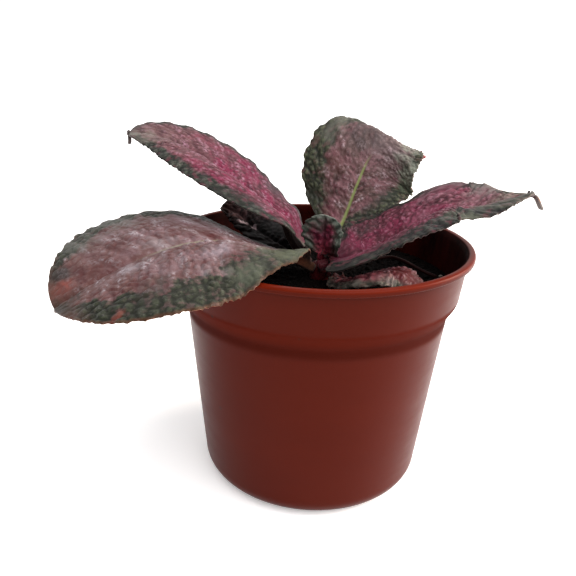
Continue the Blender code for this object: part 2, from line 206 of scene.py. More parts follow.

# How each leaf is quilted and coloured. Colours are screen values from 0 to 255.
# "cell" is the width of a cushion and "bump" its height. Three pairs are for the left half and the
# right: "rim_swell" is how much higher the cushions stand along the margin, or lower where it is
# below 0, "band" is the green margin's width, and "bead" is the shape of its cushions, 1 where
# round and less where drawn out towards the edge. "far" is the centre's colour beyond "far_from",
# a share of the blade's length, and "rib_end" is the share where the midrib's colour ends. "grain"
# is the fineness of the streaks across the blade and along it. From 0 to 1: "blotches" and "pits"
# are the strength of the dark marks, "streaks" of the pale ones, "crests" of the pale tops of
# cushions, "grooves" of the dark lines between them, "rib" of the midrib's colour, "edge" of the
# thin coloured edge, "hairs" of the pale hairs, "gloss" of the shine. The pale streaks are partly
# the leaf's own silvery pattern and partly painted highlights; the pale crests, the glints of the
# pale hairs and "margin_light" on the margin's cushion tops are painted highlights; the dark
# grooves are partly darker small veins and partly painted shade.
# Each patch is (across, along, radius, colour, strength), across being positive on the left half.
# Most patches are the leaf's own marks; those that are painted light or painted shade are noted
# at their leaf.
LOOKS = {
    "leaf_front_left": dict(
        cell=2.3, bump=0.4, rim_swell=(0.1, -0.5), band=(11.0, 7.5), bead=(1.0, 1.0),
        far_from=0.78, rib_end=0.75, grain=(0.11, 0.26), blotches=1.0, pits=0.3, streaks=0.9,
        crests=0.1, grooves=0.5, rib=0.8, edge=0.2, hairs=0.35, gloss=0.14,
        centre=(108, 83, 86), second=(93, 70, 69), lilac=(152, 142, 147), vein=(74, 38, 38),
        far=(100, 68, 64), margin=(24, 25, 16), margin_light=(56, 60, 45), midrib=(122, 118, 98),
        base=(80, 88, 66), stalk=(66, 38, 24), tip=(84, 54, 46), under=(120, 64, 38),
        stains_and_painted_light=[
            # Among these, the dark patch at (4.0, 76.0) is painted shade on the tip, which catches sheen.
            (-5.6, 74.2, 3.8, (128, 62, 52), 0.9), (22.3, 60.4, 1.6, (118, 58, 50), 0.7),
            (-10.0, 53.4, 3.4, (72, 38, 38), 0.9), (-3.0, 63.7, 4.8, (78, 42, 40), 0.9),
            (-2.3, 58.8, 2.5, (84, 48, 46), 0.6), (-13.1, 36.1, 3.0, (70, 38, 38), 0.7),
            (-6.4, 48.7, 3.5, (84, 48, 46), 0.5), (4.0, 57.8, 3.0, (152, 142, 148), 0.5),
            (-3.5, 46.5, 5.0, (150, 140, 144), 0.4), (17.7, 37.9, 3.0, (146, 134, 140), 0.4),
            (20.0, 32.1, 2.5, (112, 106, 102), 0.4), (-4.5, 15.0, 6.0, (98, 56, 64), 0.7),
            (9.0, 12.0, 13.0, (80, 84, 66), 0.8), (18.0, 52.0, 5.0, (50, 42, 36), 0.7),
            (9.0, 34.0, 5.0, (150, 136, 144), 0.5), (4.0, 76.0, 7.0, (36, 27, 16), 0.9),
            (-22.0, 59.0, 9.0, (88, 87, 81), 0.7), (-25.0, 44.0, 9.0, (88, 87, 81), 0.6),
            (-10.5, 70.5, 4.5, (48, 44, 42), 0.8), (22.5, 26.5, 5.0, (90, 94, 79), 0.55),
        ],
    ),
    "leaf_back_left": dict(
        cell=2.0, bump=0.3, rim_swell=(0.0, -1.1), band=(5.0, 2.2), bead=(0.6, 1.0),
        far_from=0.6, rib_end=0.6, grain=(0.22, 0.3), blotches=0.8, pits=0.5, streaks=0.7, crests=0.4,
        grooves=0.6, rib=0.2, edge=0.0, hairs=0.45, gloss=0.12,
        centre=(104, 23, 54), second=(90, 42, 54), lilac=(151, 112, 131), vein=(46, 10, 22),
        far=(96, 66, 68), margin=(15, 18, 14), margin_light=(62, 67, 58), midrib=(104, 50, 66),
        base=(86, 30, 48), stalk=(60, 30, 34), tip=(98, 84, 82), under=(50, 36, 32),
        stains_and_painted_light=[
            (-0.7, 60.1, 7.0, (98, 80, 78), 0.5), (14.0, 21.0, 5.0, (20, 24, 18), 0.8),
            (-12.0, 18.0, 5.0, (46, 34, 38), 0.7), (4.0, 10.0, 5.0, (120, 40, 66), 0.8),
            (-0.5, 4.5, 3.5, (90, 98, 86), 0.9), (1.5, 65.5, 5.0, (104, 102, 94), 0.7),
            (6.5, 59.5, 4.0, (88, 84, 76), 0.7), (-6.3, 28.3, 4.0, (92, 40, 54), 0.5),
        ],
    ),
    "leaf_back": dict(
        cell=1.8, bump=0.38, rim_swell=(0.6, 0.6), band=(7.5, 6.0), bead=(1.0, 1.0),
        far_from=0.62, rib_end=0.62, grain=(0.24, 0.3), blotches=0.9, pits=0.5, streaks=0.85,
        crests=0.25, grooves=0.55, rib=0.9, edge=0.1, hairs=0.35, gloss=0.14,
        centre=(112, 75, 80), second=(94, 67, 64), lilac=(162, 142, 147), vein=(50, 31, 28),
        far=(108, 90, 90), margin=(24, 26, 18), margin_light=(80, 84, 64), midrib=(116, 126, 72),
        base=(116, 68, 76), stalk=(116, 116, 60), tip=(150, 84, 84), under=(104, 78, 72),
        stains_and_painted_light=[
            # Among these, the pale patch at (-16.5, 36.0) is painted light on the right edge, which lies
            # in shadow, and the dark one at (8.0, 43.0) is painted shade on the top, which catches sheen.
            (-2.0, 44.0, 7.0, (118, 100, 101), 0.5), (-9.9, 23.4, 3.5, (36, 40, 32), 0.8),
            (-6.5, 18.5, 3.5, (40, 34, 30), 0.7), (5.0, 14.3, 4.0, (100, 50, 60), 0.6),
            (13.0, 13.0, 6.0, (36, 38, 30), 0.8),
            (9.0, 29.0, 4.0, (86, 50, 48), 0.5), (-9.4, 44.8, 4.0, (124, 126, 114), 0.8),
            (-16.5, 36.0, 5.0, (150, 160, 138), 0.9), (-15.0, 30.0, 4.0, (100, 108, 90), 0.8),
            (-4.0, 52.0, 4.0, (124, 126, 114), 0.8), (-14.5, 41.0, 4.5, (156, 160, 144), 0.9),
            (16.5, 33.0, 4.5, (94, 92, 84), 0.65), (8.0, 43.0, 9.0, (46, 38, 37), 0.75),
        ],
    ),
    "leaf_right": dict(
        cell=1.9, bump=0.44, rim_swell=(-1.1, 0.25), band=(4.0, 9.5), bead=(1.0, 0.3),
        far_from=0.6, rib_end=0.5, grain=(0.3, 0.42), blotches=0.8, pits=0.5, streaks=0.6, crests=0.5,
        grooves=0.65, rib=0.2, edge=0.1, hairs=0.5, gloss=0.12,
        centre=(113, 36, 61), second=(99, 46, 57), lilac=(158, 110, 127), vein=(42, 8, 20),
        far=(112, 72, 78), margin=(13, 15, 12), margin_light=(52, 57, 48), midrib=(112, 44, 64),
        base=(76, 34, 46), stalk=(66, 16, 24), tip=(106, 98, 95), under=(54, 38, 36),
        stains_and_painted_light=[
            (5.5, 46.0, 5.0, (128, 92, 98), 0.5), (-4.2, 52.9, 6.0, (84, 78, 66), 0.6),
            (10.0, 14.0, 5.0, (44, 36, 36), 0.7), (2.4, 32.2, 5.0, (140, 84, 100), 0.4),
            (-15.5, 33.0, 6.0, (96, 98, 84), 0.7), (12.0, 33.0, 6.0, (140, 100, 110), 0.4),
            (11.0, 44.0, 5.0, (124, 116, 112), 0.7), (2.0, 57.5, 5.0, (122, 116, 104), 0.6),
            (-8.6, 46.3, 4.5, (92, 93, 79), 0.55), (7.0, 50.0, 4.0, (118, 112, 108), 0.6),
            (0.0, 65.0, 3.0, (120, 74, 48), 0.8),
        ],
    ),
    # Painted shade: this leaf lies under leaf_back_left, and its colours are made near black to stand for
    # that shadow, lighter only towards its tip; its two small near-white patches are painted glints.
    "leaf_low_left": dict(
        cell=2.0, bump=0.4, rim_swell=(0.2, 0.2), band=(1.6, 1.6), bead=(1.0, 1.0),
        far_from=0.75, rib_end=0.6, grain=(0.2, 0.5), blotches=0.6, pits=0.5, streaks=0.5, crests=0.1,
        grooves=0.6, rib=0.3, edge=0.2, hairs=0.2, gloss=0.05,
        centre=(10, 5, 5), second=(7, 3, 3), lilac=(70, 54, 62), vein=(7, 3, 4),
        far=(62, 40, 40), margin=(12, 6, 6), margin_light=(24, 14, 12), midrib=(30, 18, 20),
        base=(8, 4, 4), stalk=(16, 6, 6), tip=(52, 38, 34), under=(34, 18, 18),
        stains_and_painted_light=[
            (2.6, 27.7, 1.4, (220, 196, 204), 0.9), (-0.1, 26.1, 1.1, (220, 196, 204), 0.9),
            (0.6, 33.0, 3.0, (110, 82, 84), 0.7),
        ],
    ),
    "leaf_low_right": dict(
        cell=2.0, bump=0.5, rim_swell=(0.3, 0.3), band=(1.0, 3.4), bead=(1.0, 1.0),
        far_from=0.62, rib_end=0.6, grain=(0.3, 0.4), blotches=0.8, pits=0.5, streaks=0.8, crests=0.5,
        grooves=0.6, rib=0.3, edge=0.2, hairs=0.3, gloss=0.14,
        centre=(128, 48, 58), second=(98, 32, 38), lilac=(182, 142, 151), vein=(60, 16, 22),
        far=(84, 28, 30), margin=(34, 38, 32), margin_light=(118, 112, 100), midrib=(140, 64, 72),
        base=(70, 32, 34), stalk=(80, 22, 26), tip=(82, 40, 36), under=(80, 40, 40),
        stains_and_painted_light=[
            (-9.4, 12.4, 3.0, (24, 26, 21), 0.9), (-9.1, 17.2, 2.0, (34, 36, 30), 0.7),
            (-6.0, 22.0, 3.5, (150, 128, 124), 0.5), (-7.1, 14.7, 2.2, (108, 102, 94), 0.7),
            (-3.6, 18.2, 3.8, (172, 96, 104), 0.65), (-0.6, 30.0, 5.0, (84, 32, 32), 0.7),
        ],
    ),
    "leaf_young": dict(
        cell=1.8, bump=0.5, rim_swell=(0.5, 0.5), band=(3.0, 3.6), bead=(1.0, 1.0),
        far_from=0.85, rib_end=0.7, grain=(0.4, 0.5), blotches=0.5, pits=0.4, streaks=0.6, crests=0.2,
        grooves=0.6, rib=0.3, edge=0.0, hairs=0.6, gloss=0.15,
        centre=(116, 30, 56), second=(80, 24, 40), lilac=(156, 114, 130), vein=(44, 14, 24),
        far=(84, 90, 80), margin=(46, 52, 45), margin_light=(102, 108, 98), midrib=(120, 44, 68),
        base=(120, 30, 52), stalk=(110, 24, 36), tip=(116, 120, 112), under=(60, 26, 36),
        stains_and_painted_light=[
            # The first patch is painted light, lightening the base, which lies in shade.
            (-1.0, 3.0, 4.5, (190, 80, 100), 0.8), (4.5, 3.6, 2.8, (78, 86, 76), 0.8),
            (1.7, 11.1, 2.4, (70, 76, 68), 0.7),
        ],
    ),
}

RUNNER_ROUTE = [(4, -0.1, 64.3), (9.5, 1.4, 65.4), (15.5, 3.8, 66.9), (21.3, 5.6, 67.6), (25.2, 4.6, 67.1),
                (28.6, 3, 66), (32.4, 1.9, 64.5), (35.6, 1, 63.5)]
RUNNER_RADIUS = 0.6
RUNNER_STEPS = 110
RUNNER_SIDES = 18

# Colours of the other pieces, as screen values from 0 to 255.
# In the plastic, "rim" is a painted highlight along the top of the lip, and "damp" and the colour for
# under the collar are painted shade.
PLASTIC = dict(red=(68, 15, 4), light=(75, 18, 5), painted_collar_shade=(44, 9, 4), rim=(110, 30, 11),
               damp=(26, 6, 4), specks=(58, 26, 20))
# The inner face is darker than the outside, partly from peat stains and partly as painted shade inside the
# pot; the pale dirt specks are its own.
STAINED_SHADED_PLASTIC = dict(red=(58, 12, 8), dark=(24, 6, 5), dirt=(150, 138, 134))
PEAT = dict(dark=(5, 2, 2), light=(14, 7, 5), fibre=(30, 17, 12))
GRAINS = dict(dark=(120, 108, 98), light=(208, 202, 192))
STEM = dict(dark=(54, 6, 9), light=(80, 19, 23), nap=(122, 84, 80))
# The runner's colours are darker than the stem's, as painted shade for the shadow it lies in.
RUNNER = dict(dark=(28, 5, 5), light=(48, 15, 13), nap=(80, 46, 40))
# The colour of the painted highlights of the pale hairs on the lower faces.
LOWER_FACE_HAIRS = (176, 160, 150)

# The photograph's camera, fitted to the pot's outline, with its angles in radians.
CAMERA_DISTANCE = 179.4
CAMERA_HEIGHT = 125.2
CAMERA_TILT = 0.359
CAMERA_TURN = -0.050
CAMERA_ROLL = 0.035
CAMERA_FOCUS_PIXELS = 624.1
PHOTO_PIXELS = 576
SENSOR = 36.0

# Lights and stage, with places and sizes in metres.
FLOOR_REACH = 6.0
FLOOR_WHITE = (0.96, 0.96, 0.96, 1.0)
FLOOR_GLOW = 0.3
BACKGROUND = (1.1, 1.1, 1.1, 1.0)
FRONT_LIGHT = (0.12, 0.12, 0.125, 1.0)
SUN_POWER = 3.8
SUN_SPREAD = 70
SUN_TILT = 25
SOFTBOX_AT = (0.95, 0.25, 0.4)
SOFTBOX_AIM = (0, 0, 0.06)
SOFTBOX_SIZE = 0.6
SOFTBOX_POWER = 15.0
SOFTBOX_COLOUR = (1.0, 0.87, 0.74)


def paint(colour):
    """A colour given as 0 to 255 screen values, as the linear value that a shader takes."""
    linear = []
    for value in colour:
        level = value / 255
        linear.append(level / 12.92 if level <= 0.04045 else ((level + 0.055) / 1.055) ** 2.4)
    return (*linear, 1.0)


# Geometry

def smooth_line(points, count):
    """Evenly spaced points on a smooth curve through the given ones."""
    given = np.array(points, float)
    given = np.vstack([2 * given[0] - given[1], given, 2 * given[-1] - given[-2]])
    fine = []
    for a, b, c, d in zip(given, given[1:], given[2:], given[3:]):
        t = np.linspace(0, 1, 24, endpoint=False)[:, None]
        fine.append(0.5 * (2 * b + (c - a) * t + (2 * a - 5 * b + 4 * c - d) * t**2
                           + (3 * b - a - 3 * c + d) * t**3))
    fine = np.vstack(fine + [given[-2][None]])
    travelled = np.r_[0, np.cumsum(np.linalg.norm(np.diff(fine, axis=0), axis=1))]
    even = np.linspace(0, travelled[-1], count)
    line = np.stack([np.interp(even, travelled, fine[:, k]) for k in range(3)], axis=-1)
    return line, travelled[-1]


def unit(vectors):
    return vectors / np.maximum(np.linalg.norm(vectors, axis=-1, keepdims=True), 1e-12)


def along(values, s):
    return np.interp(s, np.linspace(0, 1, len(values)), values)


def scatter(a, b, seed):
    """A number from 0 to 1 for each pair of whole numbers, without a pattern."""
    value = np.sin(a * 127.1 + b * 311.7 + seed * 74.7) * 43758.5453
    return value - np.floor(value)


def cushions(x, y, size, seed):
    """A net of raised cushions, 0 in the grooves between them and 1 on their tops."""
    grid_x, grid_y = x / size, y / size
    home_x, home_y = np.floor(grid_x), np.floor(grid_y)
    nearest = np.full(np.broadcast(grid_x, grid_y).shape, 9.0)
    second = nearest.copy()
    for step_x in (-1, 0, 1):
        for step_y in (-1, 0, 1):
            cell_x, cell_y = home_x + step_x, home_y + step_y
            away = np.hypot(cell_x + 0.05 + 0.9 * scatter(cell_x, cell_y, seed) - grid_x,
                            cell_y + 0.05 + 0.9 * scatter(cell_x, cell_y, seed + 7) - grid_y)
            second = np.minimum(second, np.maximum(nearest, away))
            nearest = np.minimum(nearest, away)
    edge = np.clip((second - nearest) / 0.75, 0, 1)
    return edge * (2 - edge)


def drift(x, y, size, seed):
    """A smooth wandering value between 0 and 1, with hills about `size` apart."""
    grid_x, grid_y = x / size, y / size
    home_x, home_y = np.floor(grid_x), np.floor(grid_y)
    part_x, part_y = grid_x - home_x, grid_y - home_y
    part_x, part_y = part_x**2 * (3 - 2 * part_x), part_y**2 * (3 - 2 * part_y)
    near = scatter(home_x, home_y, seed) * (1 - part_x) + scatter(home_x + 1, home_y, seed) * part_x
    far = (scatter(home_x, home_y + 1, seed) * (1 - part_x)
           + scatter(home_x + 1, home_y + 1, seed) * part_x)
    return near * (1 - part_y) + far * part_y


def closed_tube(start, rings, end):
    """Points and faces of a tube through rings of points, closed by a point at each end."""
    count, sides = rings.shape[:2]
    points = np.vstack([[start], rings.reshape(-1, 3), [end]])
    last = 1 + (count - 1) * sides
    faces = []
    for k in range(sides):
        after = (k + 1) % sides
        faces.append((0, 1 + after, 1 + k))
        for a in range(1, last, sides):
            b = a + sides
            faces.append((a + k, a + after, b + after, b + k))
        faces.append((last + k, last + after, len(points) - 1))
    return points, faces


def stand(name, data):
    """Puts a mesh, lamp or camera into the scene."""
    thing = bpy.data.objects.new(name, data)
    bpy.context.scene.collection.objects.link(thing)
    return thing


def new_piece(name, points, faces, materials, node):
    """A smooth mesh from points in millimetres, which stands for a CAD node if one is named."""
    mesh = bpy.data.meshes.new(name)
    mesh.from_pydata(np.asarray(points, float) * MM, [], faces)
    mesh.update()
    for material in materials:
        mesh.materials.append(material)
    mesh.shade_smooth()
    piece = stand(name, mesh)
    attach(piece, "root")
    if node:
        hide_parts(node)
    return piece


def keep_value(mesh, name, values):
    mesh.attributes.new(name, "FLOAT", "POINT").data.foreach_set("value", values.astype(np.float32))


def keep_vector(mesh, name, values):
    store = mesh.attributes.new(name, "FLOAT_VECTOR", "POINT")
    store.data.foreach_set("vector", values.astype(np.float32).ravel())


# Wiring of materials

def fill(tree, node, values):
    """Gives a node's inputs plain values, or links them to other nodes' outputs."""
    for key, value in values.items():
        if isinstance(value, bpy.types.NodeSocket):
            tree.links.new(value, node.inputs[key])
        else:
            node.inputs[key].default_value = value


def put(tree, kind, values=None, out=0, **settings):
    """Adds a node with its settings and inputs, and returns one of its outputs."""
    node = tree.nodes.new(kind)
    for key, value in settings.items():
        setattr(node, key, value)
    fill(tree, node, values or {})
    return node.outputs[out]


def place_group(tree, group, values):
    """Adds a node group with its inputs, and returns all its outputs."""
    node = tree.nodes.new("ShaderNodeGroup")
    node.node_tree = group
    fill(tree, node, values)
    return node.outputs


def maths(tree, operation, a, b=0.0, c=0.0, clamp=False):
    return put(tree, "ShaderNodeMath", {0: a, 1: b, 2: c}, operation=operation, use_clamp=clamp)


def times(tree, a, b):
    return maths(tree, "MULTIPLY", a, b)


def mix(tree, share, first, second):
    """The first colour where share is 0 and the second where it is 1."""
    return put(tree, "ShaderNodeMix", {0: share, 6: first, 7: second}, out=2, data_type="RGBA")


def blend(tree, share, first, second):
    """The first screen colour where share is 0 and the second where it is 1."""
    return mix(tree, share, paint(first), paint(second))


def tint(tree, colour, share, over, strength=1.0):
    """Lays a screen colour over another colour where share is 1, as strongly as given."""
    if strength != 1.0:
        share = times(tree, share, strength)
    return mix(tree, share, colour, paint(over))


def layered(tree, colour, layers):
    """Lays screen colours over a colour in turn. Each layer is (share, colour, strength)."""
    for layer in layers:
        colour = tint(tree, colour, *layer)
    return colour


def step_up(tree, value, low, high):
    """0 below low and 1 above high, with a soft rise between."""
    return put(tree, "ShaderNodeMapRange", {0: value, 1: low, 2: high},
               interpolation_type="SMOOTHSTEP")


def step_down(tree, value, low, high):
    """1 below low and 0 above high, with a soft fall between."""
    return maths(tree, "SUBTRACT", 1.0, step_up(tree, value, low, high))


def noise(tree, vector, scale, detail=2.0, roughness=0.5):
    return put(tree, "ShaderNodeTexNoise",
               {"Vector": vector, "Scale": scale, "Detail": detail, "Roughness": roughness})


def attribute(tree, name, out="Fac"):
    return put(tree, "ShaderNodeAttribute", out=out, attribute_name=name)


def stretched(tree, vector, scale):
    return put(tree, "ShaderNodeVectorMath", {0: vector, 1: scale}, operation="MULTIPLY")


def object_place(tree):
    return put(tree, "ShaderNodeTexCoord", out="Object")


def new_material(name, **sockets):
    """A material whose shader has the given constants on its own sockets."""
    material = bpy.data.materials.new(name)
    material.use_nodes = True
    shader = material.node_tree.nodes["Principled BSDF"]
    for socket, value in sockets.items():
        shader.inputs[socket.replace("_", " ")].default_value = value
    return material, material.node_tree, shader


def finish_shader(tree, shader, colour, rough, relief=None, strength=0.0, depth=0.0):
    """Joins colour, roughness and relief, whose depth is in millimetres, to a shader."""
    tree.links.new(colour, shader.inputs["Base Color"])
    tree.links.new(rough, shader.inputs["Roughness"])
    if relief is not None:
        bump = put(tree, "ShaderNodeBump",
                   {"Strength": strength, "Distance": depth * MM, "Height": relief})
        tree.links.new(bump, shader.inputs["Normal"])


def new_group(name, inputs, outputs):
    """An empty node group, with what it is given and what it gives back.

    Each input has a plain value to begin with, or None where it is a place.
    """
    group = bpy.data.node_groups.new(name, "ShaderNodeTree")
    for label, value in inputs.items():
        kind = "NodeSocketVector" if value is None else "NodeSocketFloat"
        socket = group.interface.new_socket(name=label, in_out="INPUT", socket_type=kind)
        if value is not None:
            socket.default_value = value
    for label in outputs:
        group.interface.new_socket(name=label, in_out="OUTPUT", socket_type="NodeSocketFloat")
    given, result = group.nodes.new("NodeGroupInput"), group.nodes.new("NodeGroupOutput")
    return group, given.outputs, result.inputs


def margin_band_group():
    """How far a spot lies inside the leaf's green margin, whose inner edge wanders."""
    group, given, result = new_group(
        "green margin band",
        {"Across": 0.0, "Margin Distance": 0.0, "Leaf Place": None, "Cushion": 0.0,
         "Left Width": 6.0, "Right Width": 6.0}, ["Band"])
    on_left = step_up(group, given["Across"], -0.1, 0.1)
    on_right = step_down(group, given["Across"], -0.1, 0.1)
    left_width = times(group, given["Left Width"], on_left)
    width = maths(group, "MULTIPLY_ADD", given["Right Width"], on_right, left_width)
    wander = times(group, noise(group, given["Leaf Place"], 0.2, 4.0, 0.65), 2.0)
    width = times(group, width, wander)
    width = maths(group, "MULTIPLY_ADD", given["Cushion"], -0.9, width)
    depth = maths(group, "SUBTRACT", width, given["Margin Distance"])
    group.links.new(step_up(group, depth, -1.6, 1.6), result["Band"])
    return group


def hairs_group():
    """The fine hairs on both faces of a leaf: their relief, and painted highlights where pale hairs catch
    light, stronger on the cushion tops.
    """
    group, given, result = new_group(
        "velvet hairs", {"Leaf Place": None, "Cushion": 0.0, "Amount": 0.5}, ["Relief", "Glints"])
    place = given["Leaf Place"]
    nap = noise(group, stretched(group, place, (3.4, 1.9, 2.0)), 1.0, 3.0, 0.6)
    tufts = noise(group, place, 0.75, 2.0, 0.5)
    crest = step_up(group, given["Cushion"], 0.3, 0.95)
    shown = times(group, step_up(group, nap, 0.5, 0.74), step_up(group, tufts, 0.38, 0.66))
    shown = times(group, shown, maths(group, "MULTIPLY_ADD", crest, 0.75, 0.25))
    shown = maths(group, "MULTIPLY", shown, given["Amount"], clamp=True)
    group.links.new(nap, result["Relief"])
    group.links.new(shown, result["Glints"])
    return group


def patch_group():
    """A ragged round patch at a given place on the leaf."""
    group, given, result = new_group(
        "leaf patch", {"Leaf Place": None, "Centre": None, "Radius": 3.0}, ["Patch"])
    place = given["Leaf Place"]
    away = put(group, "ShaderNodeVectorMath", {0: place, 1: given["Centre"]},
               out="Value", operation="DISTANCE")
    ragged = maths(group, "MULTIPLY_ADD", noise(group, place, 0.35, 3.0, 0.6), 1.4, 0.3)
    share = maths(group, "DIVIDE", away, times(group, given["Radius"], ragged))
    group.links.new(step_down(group, share, 0.3, 1.25), result["Patch"])
    return group


def specks_group():
    """Small dots that are shown only here and there, as in moulded plastic and peat dust."""
    group, given, result = new_group(
        "sparse specks",
        {"Place": None, "Speck Scale": 160.0, "Speck Core": 0.06, "Speck Edge": 0.12,
         "Area Scale": 60.0, "Area Low": 0.6, "Area High": 0.7}, ["Specks"])
    dots = put(group, "ShaderNodeTexVoronoi",
               {"Vector": given["Place"], "Scale": given["Speck Scale"]})
    dots = step_down(group, dots, given["Speck Core"], given["Speck Edge"])
    areas = noise(group, given["Place"], given["Area Scale"], 1.0)
    areas = step_up(group, areas, given["Area Low"], given["Area High"])
    group.links.new(times(group, dots, areas), result["Specks"])
    return group


MARGIN_BAND = margin_band_group()
HAIRS = hairs_group()
PATCH = patch_group()
SPECKS = specks_group()


# Leaf finishes

def centre_colour(tree, look, place, cushion, blade_along, streaks, mottle):
    """The pink centre with its clouds and dark pits, grooves darkened partly as painted shade, pale
    streaks partly painted highlights, and pale crests painted as highlights.
    """
    clouds = noise(tree, place, 0.14, 3.0, 0.6)
    speckle = noise(tree, place, 1.3, 2.0, 0.6)
    colour = blend(tree, step_up(tree, clouds, 0.42, 0.58), look["centre"], look["second"])
    outward = maths(tree, "MULTIPLY_ADD", clouds, 0.5, maths(tree, "SUBTRACT", blade_along, 0.25))
    outward = step_up(tree, outward, look["far_from"] - 0.2, look["far_from"] + 0.2)
    # Painted shade darkens the grooves between cushions, and painted highlights lighten the streaks and
    # the cushion tops.
    groove = times(tree, step_down(tree, cushion, 0.0, 1.0), step_up(tree, clouds, 0.3, 0.6))
    on_top = maths(tree, "MULTIPLY_ADD", step_up(tree, cushion, 0.0, 1.0), 0.6, 0.4)
    pale = times(tree, step_up(tree, streaks, 0.5, 0.66), on_top)
    pale = times(tree, pale, step_up(tree, speckle, 0.4, 0.58))
    crest = times(tree, step_up(tree, cushion, 0.5, 1.0), step_up(tree, mottle, 0.47, 0.62))
    return layered(tree, colour, [
        (outward, look["far"]),
        (step_down(tree, streaks, 0.32, 0.48), look["vein"], look["blotches"]),
        (step_down(tree, speckle, 0.34, 0.5), look["vein"], look["pits"]),
        (groove, look["vein"], look["grooves"]),
        (pale, look["lilac"], look["streaks"]),
        (crest, look["lilac"], look["crests"]),
        (step_down(tree, blade_along, 0.02, 0.16), look["base"], 0.8),
    ])


def margin_colour(tree, look, place, cushion, mottle):
    """The green margin, lighter on its cushion tops as a painted highlight, and rusty in places."""
    # Painted highlight: the cushion tops are lighter.
    light = times(tree, step_up(tree, cushion, 0.0, 1.0), step_up(tree, mottle, 0.3, 0.65))
    colour = blend(tree, light, look["margin"], look["margin_light"])
    rust = step_up(tree, noise(tree, place, 0.35, 3.0, 0.6), 0.52, 0.66)
    return tint(tree, colour, rust, look["second"], 0.5)


def midrib_line(tree, look, blade_along):
    """Where the midrib's colour shows: a line that slims and fades towards the tip."""
    slimming = maths(tree, "MULTIPLY_ADD", blade_along, 0.9, 0.85)
    line = times(tree, attribute(tree, "from_midrib"), slimming)
    line = step_down(tree, line, 0.15, 0.75)
    return times(tree, line, step_down(tree, blade_along, look["rib_end"] - 0.2, look["rib_end"]))


def blade_colour(tree, look, place, cushion):
    """The upper face's colour, from the pink centre over the green margin to midrib and tip."""
    vein_place = attribute(tree, "vein_mm", "Vector")
    blade_along = attribute(tree, "blade_along")
    from_margin = attribute(tree, "from_margin")
    streaks = noise(tree, stretched(tree, vein_place, (*look["grain"], 0.3)), 1.0, 4.0, 0.6)
    mottle = noise(tree, place, 0.9, 3.0, 0.65)
    left_width, right_width = look["band"]
    band = place_group(tree, MARGIN_BAND, {
        "Across": attribute(tree, "across"), "Margin Distance": from_margin, "Leaf Place": place,
        "Cushion": cushion, "Left Width": left_width, "Right Width": right_width})["Band"]
    centre = centre_colour(tree, look, place, cushion, blade_along, streaks, mottle)
    colour = mix(tree, band, centre, margin_colour(tree, look, place, cushion, mottle))
    colour = layered(tree, colour, [
        (midrib_line(tree, look, blade_along), look["midrib"], look["rib"]),
        (step_down(tree, from_margin, 0.1, 1.1), look["under"], look["edge"]),
        (step_up(tree, blade_along, 0.9, 1.0), look["tip"], 0.8),
        (step_down(tree, blade_along, 0.0, 0.03), look["stalk"]),
    ])
    broken = maths(tree, "MULTIPLY_ADD", step_up(tree, streaks, 0.38, 0.56), 0.7, 0.3)
    # Each patch is laid over the face: most are the leaf's own marks, and some are painted light or
    # painted shade, as noted in LOOKS.
    for x, y, radius, patch_colour, strength in look["stains_and_painted_light"]:
        patch = place_group(tree, PATCH, {
            "Leaf Place": vein_place, "Centre": (x, y, 0), "Radius": radius})["Patch"]
        colour = tint(tree, colour, times(tree, patch, broken), patch_colour, strength)
    return colour


def blade_finish(name, look):
    """The velvety upper face, with fine hairs whose glints are painted highlights."""
    material, tree, shader = new_material(
        name, Specular_IOR_Level=look["gloss"], Sheen_Weight=0.03, Sheen_Roughness=0.45,
        Sheen_Tint=(0.9, 0.86, 0.9, 1.0))
    place = attribute(tree, "leaf_mm", "Vector")
    cushion = attribute(tree, "cushion")
    hairs = place_group(tree, HAIRS, {
        "Leaf Place": place, "Cushion": cushion, "Amount": look["hairs"]})
    # The hair glints are painted highlights.
    colour = tint(tree, blade_colour(tree, look, place, cushion), hairs["Glints"], look["lilac"])
    rough = maths(tree, "MULTIPLY_ADD", hairs["Relief"], 0.3, 0.35)
    finish_shader(tree, shader, colour, rough, hairs["Relief"], 0.5, 0.1)
    return material


def underside_finish(name, look):
    """The dull lower face, redder along its raised veins."""
    material, tree, shader = new_material(
        name, Specular_IOR_Level=0.5 * look["gloss"], Sheen_Weight=0.1, Sheen_Roughness=0.5)
    place = attribute(tree, "leaf_mm", "Vector")
    cushion = attribute(tree, "cushion")
    blade_along = attribute(tree, "blade_along")
    pale = tuple(min(255, value + 26) for value in look["under"])
    hairs = place_group(tree, HAIRS, {
        "Leaf Place": place, "Cushion": cushion, "Amount": 0.5 * look["hairs"]})
    colour = blend(tree, noise(tree, place, 0.25, 3.0, 0.55), look["under"], pale)
    colour = layered(tree, colour, [
        (step_down(tree, cushion, 0.05, 0.5), look["vein"], 0.45),
        (step_down(tree, blade_along, 0.0, 0.1), look["stalk"]),
        (step_up(tree, blade_along, 0.9, 1.0), look["tip"]),
        # Painted highlights where the pale hairs catch light.
        (hairs["Glints"], LOWER_FACE_HAIRS),
    ])
    rough = maths(tree, "MULTIPLY_ADD", hairs["Relief"], 0.25, 0.5)
    finish_shader(tree, shader, colour, rough, hairs["Relief"], 0.6, 0.12)
    return material


# Leaves

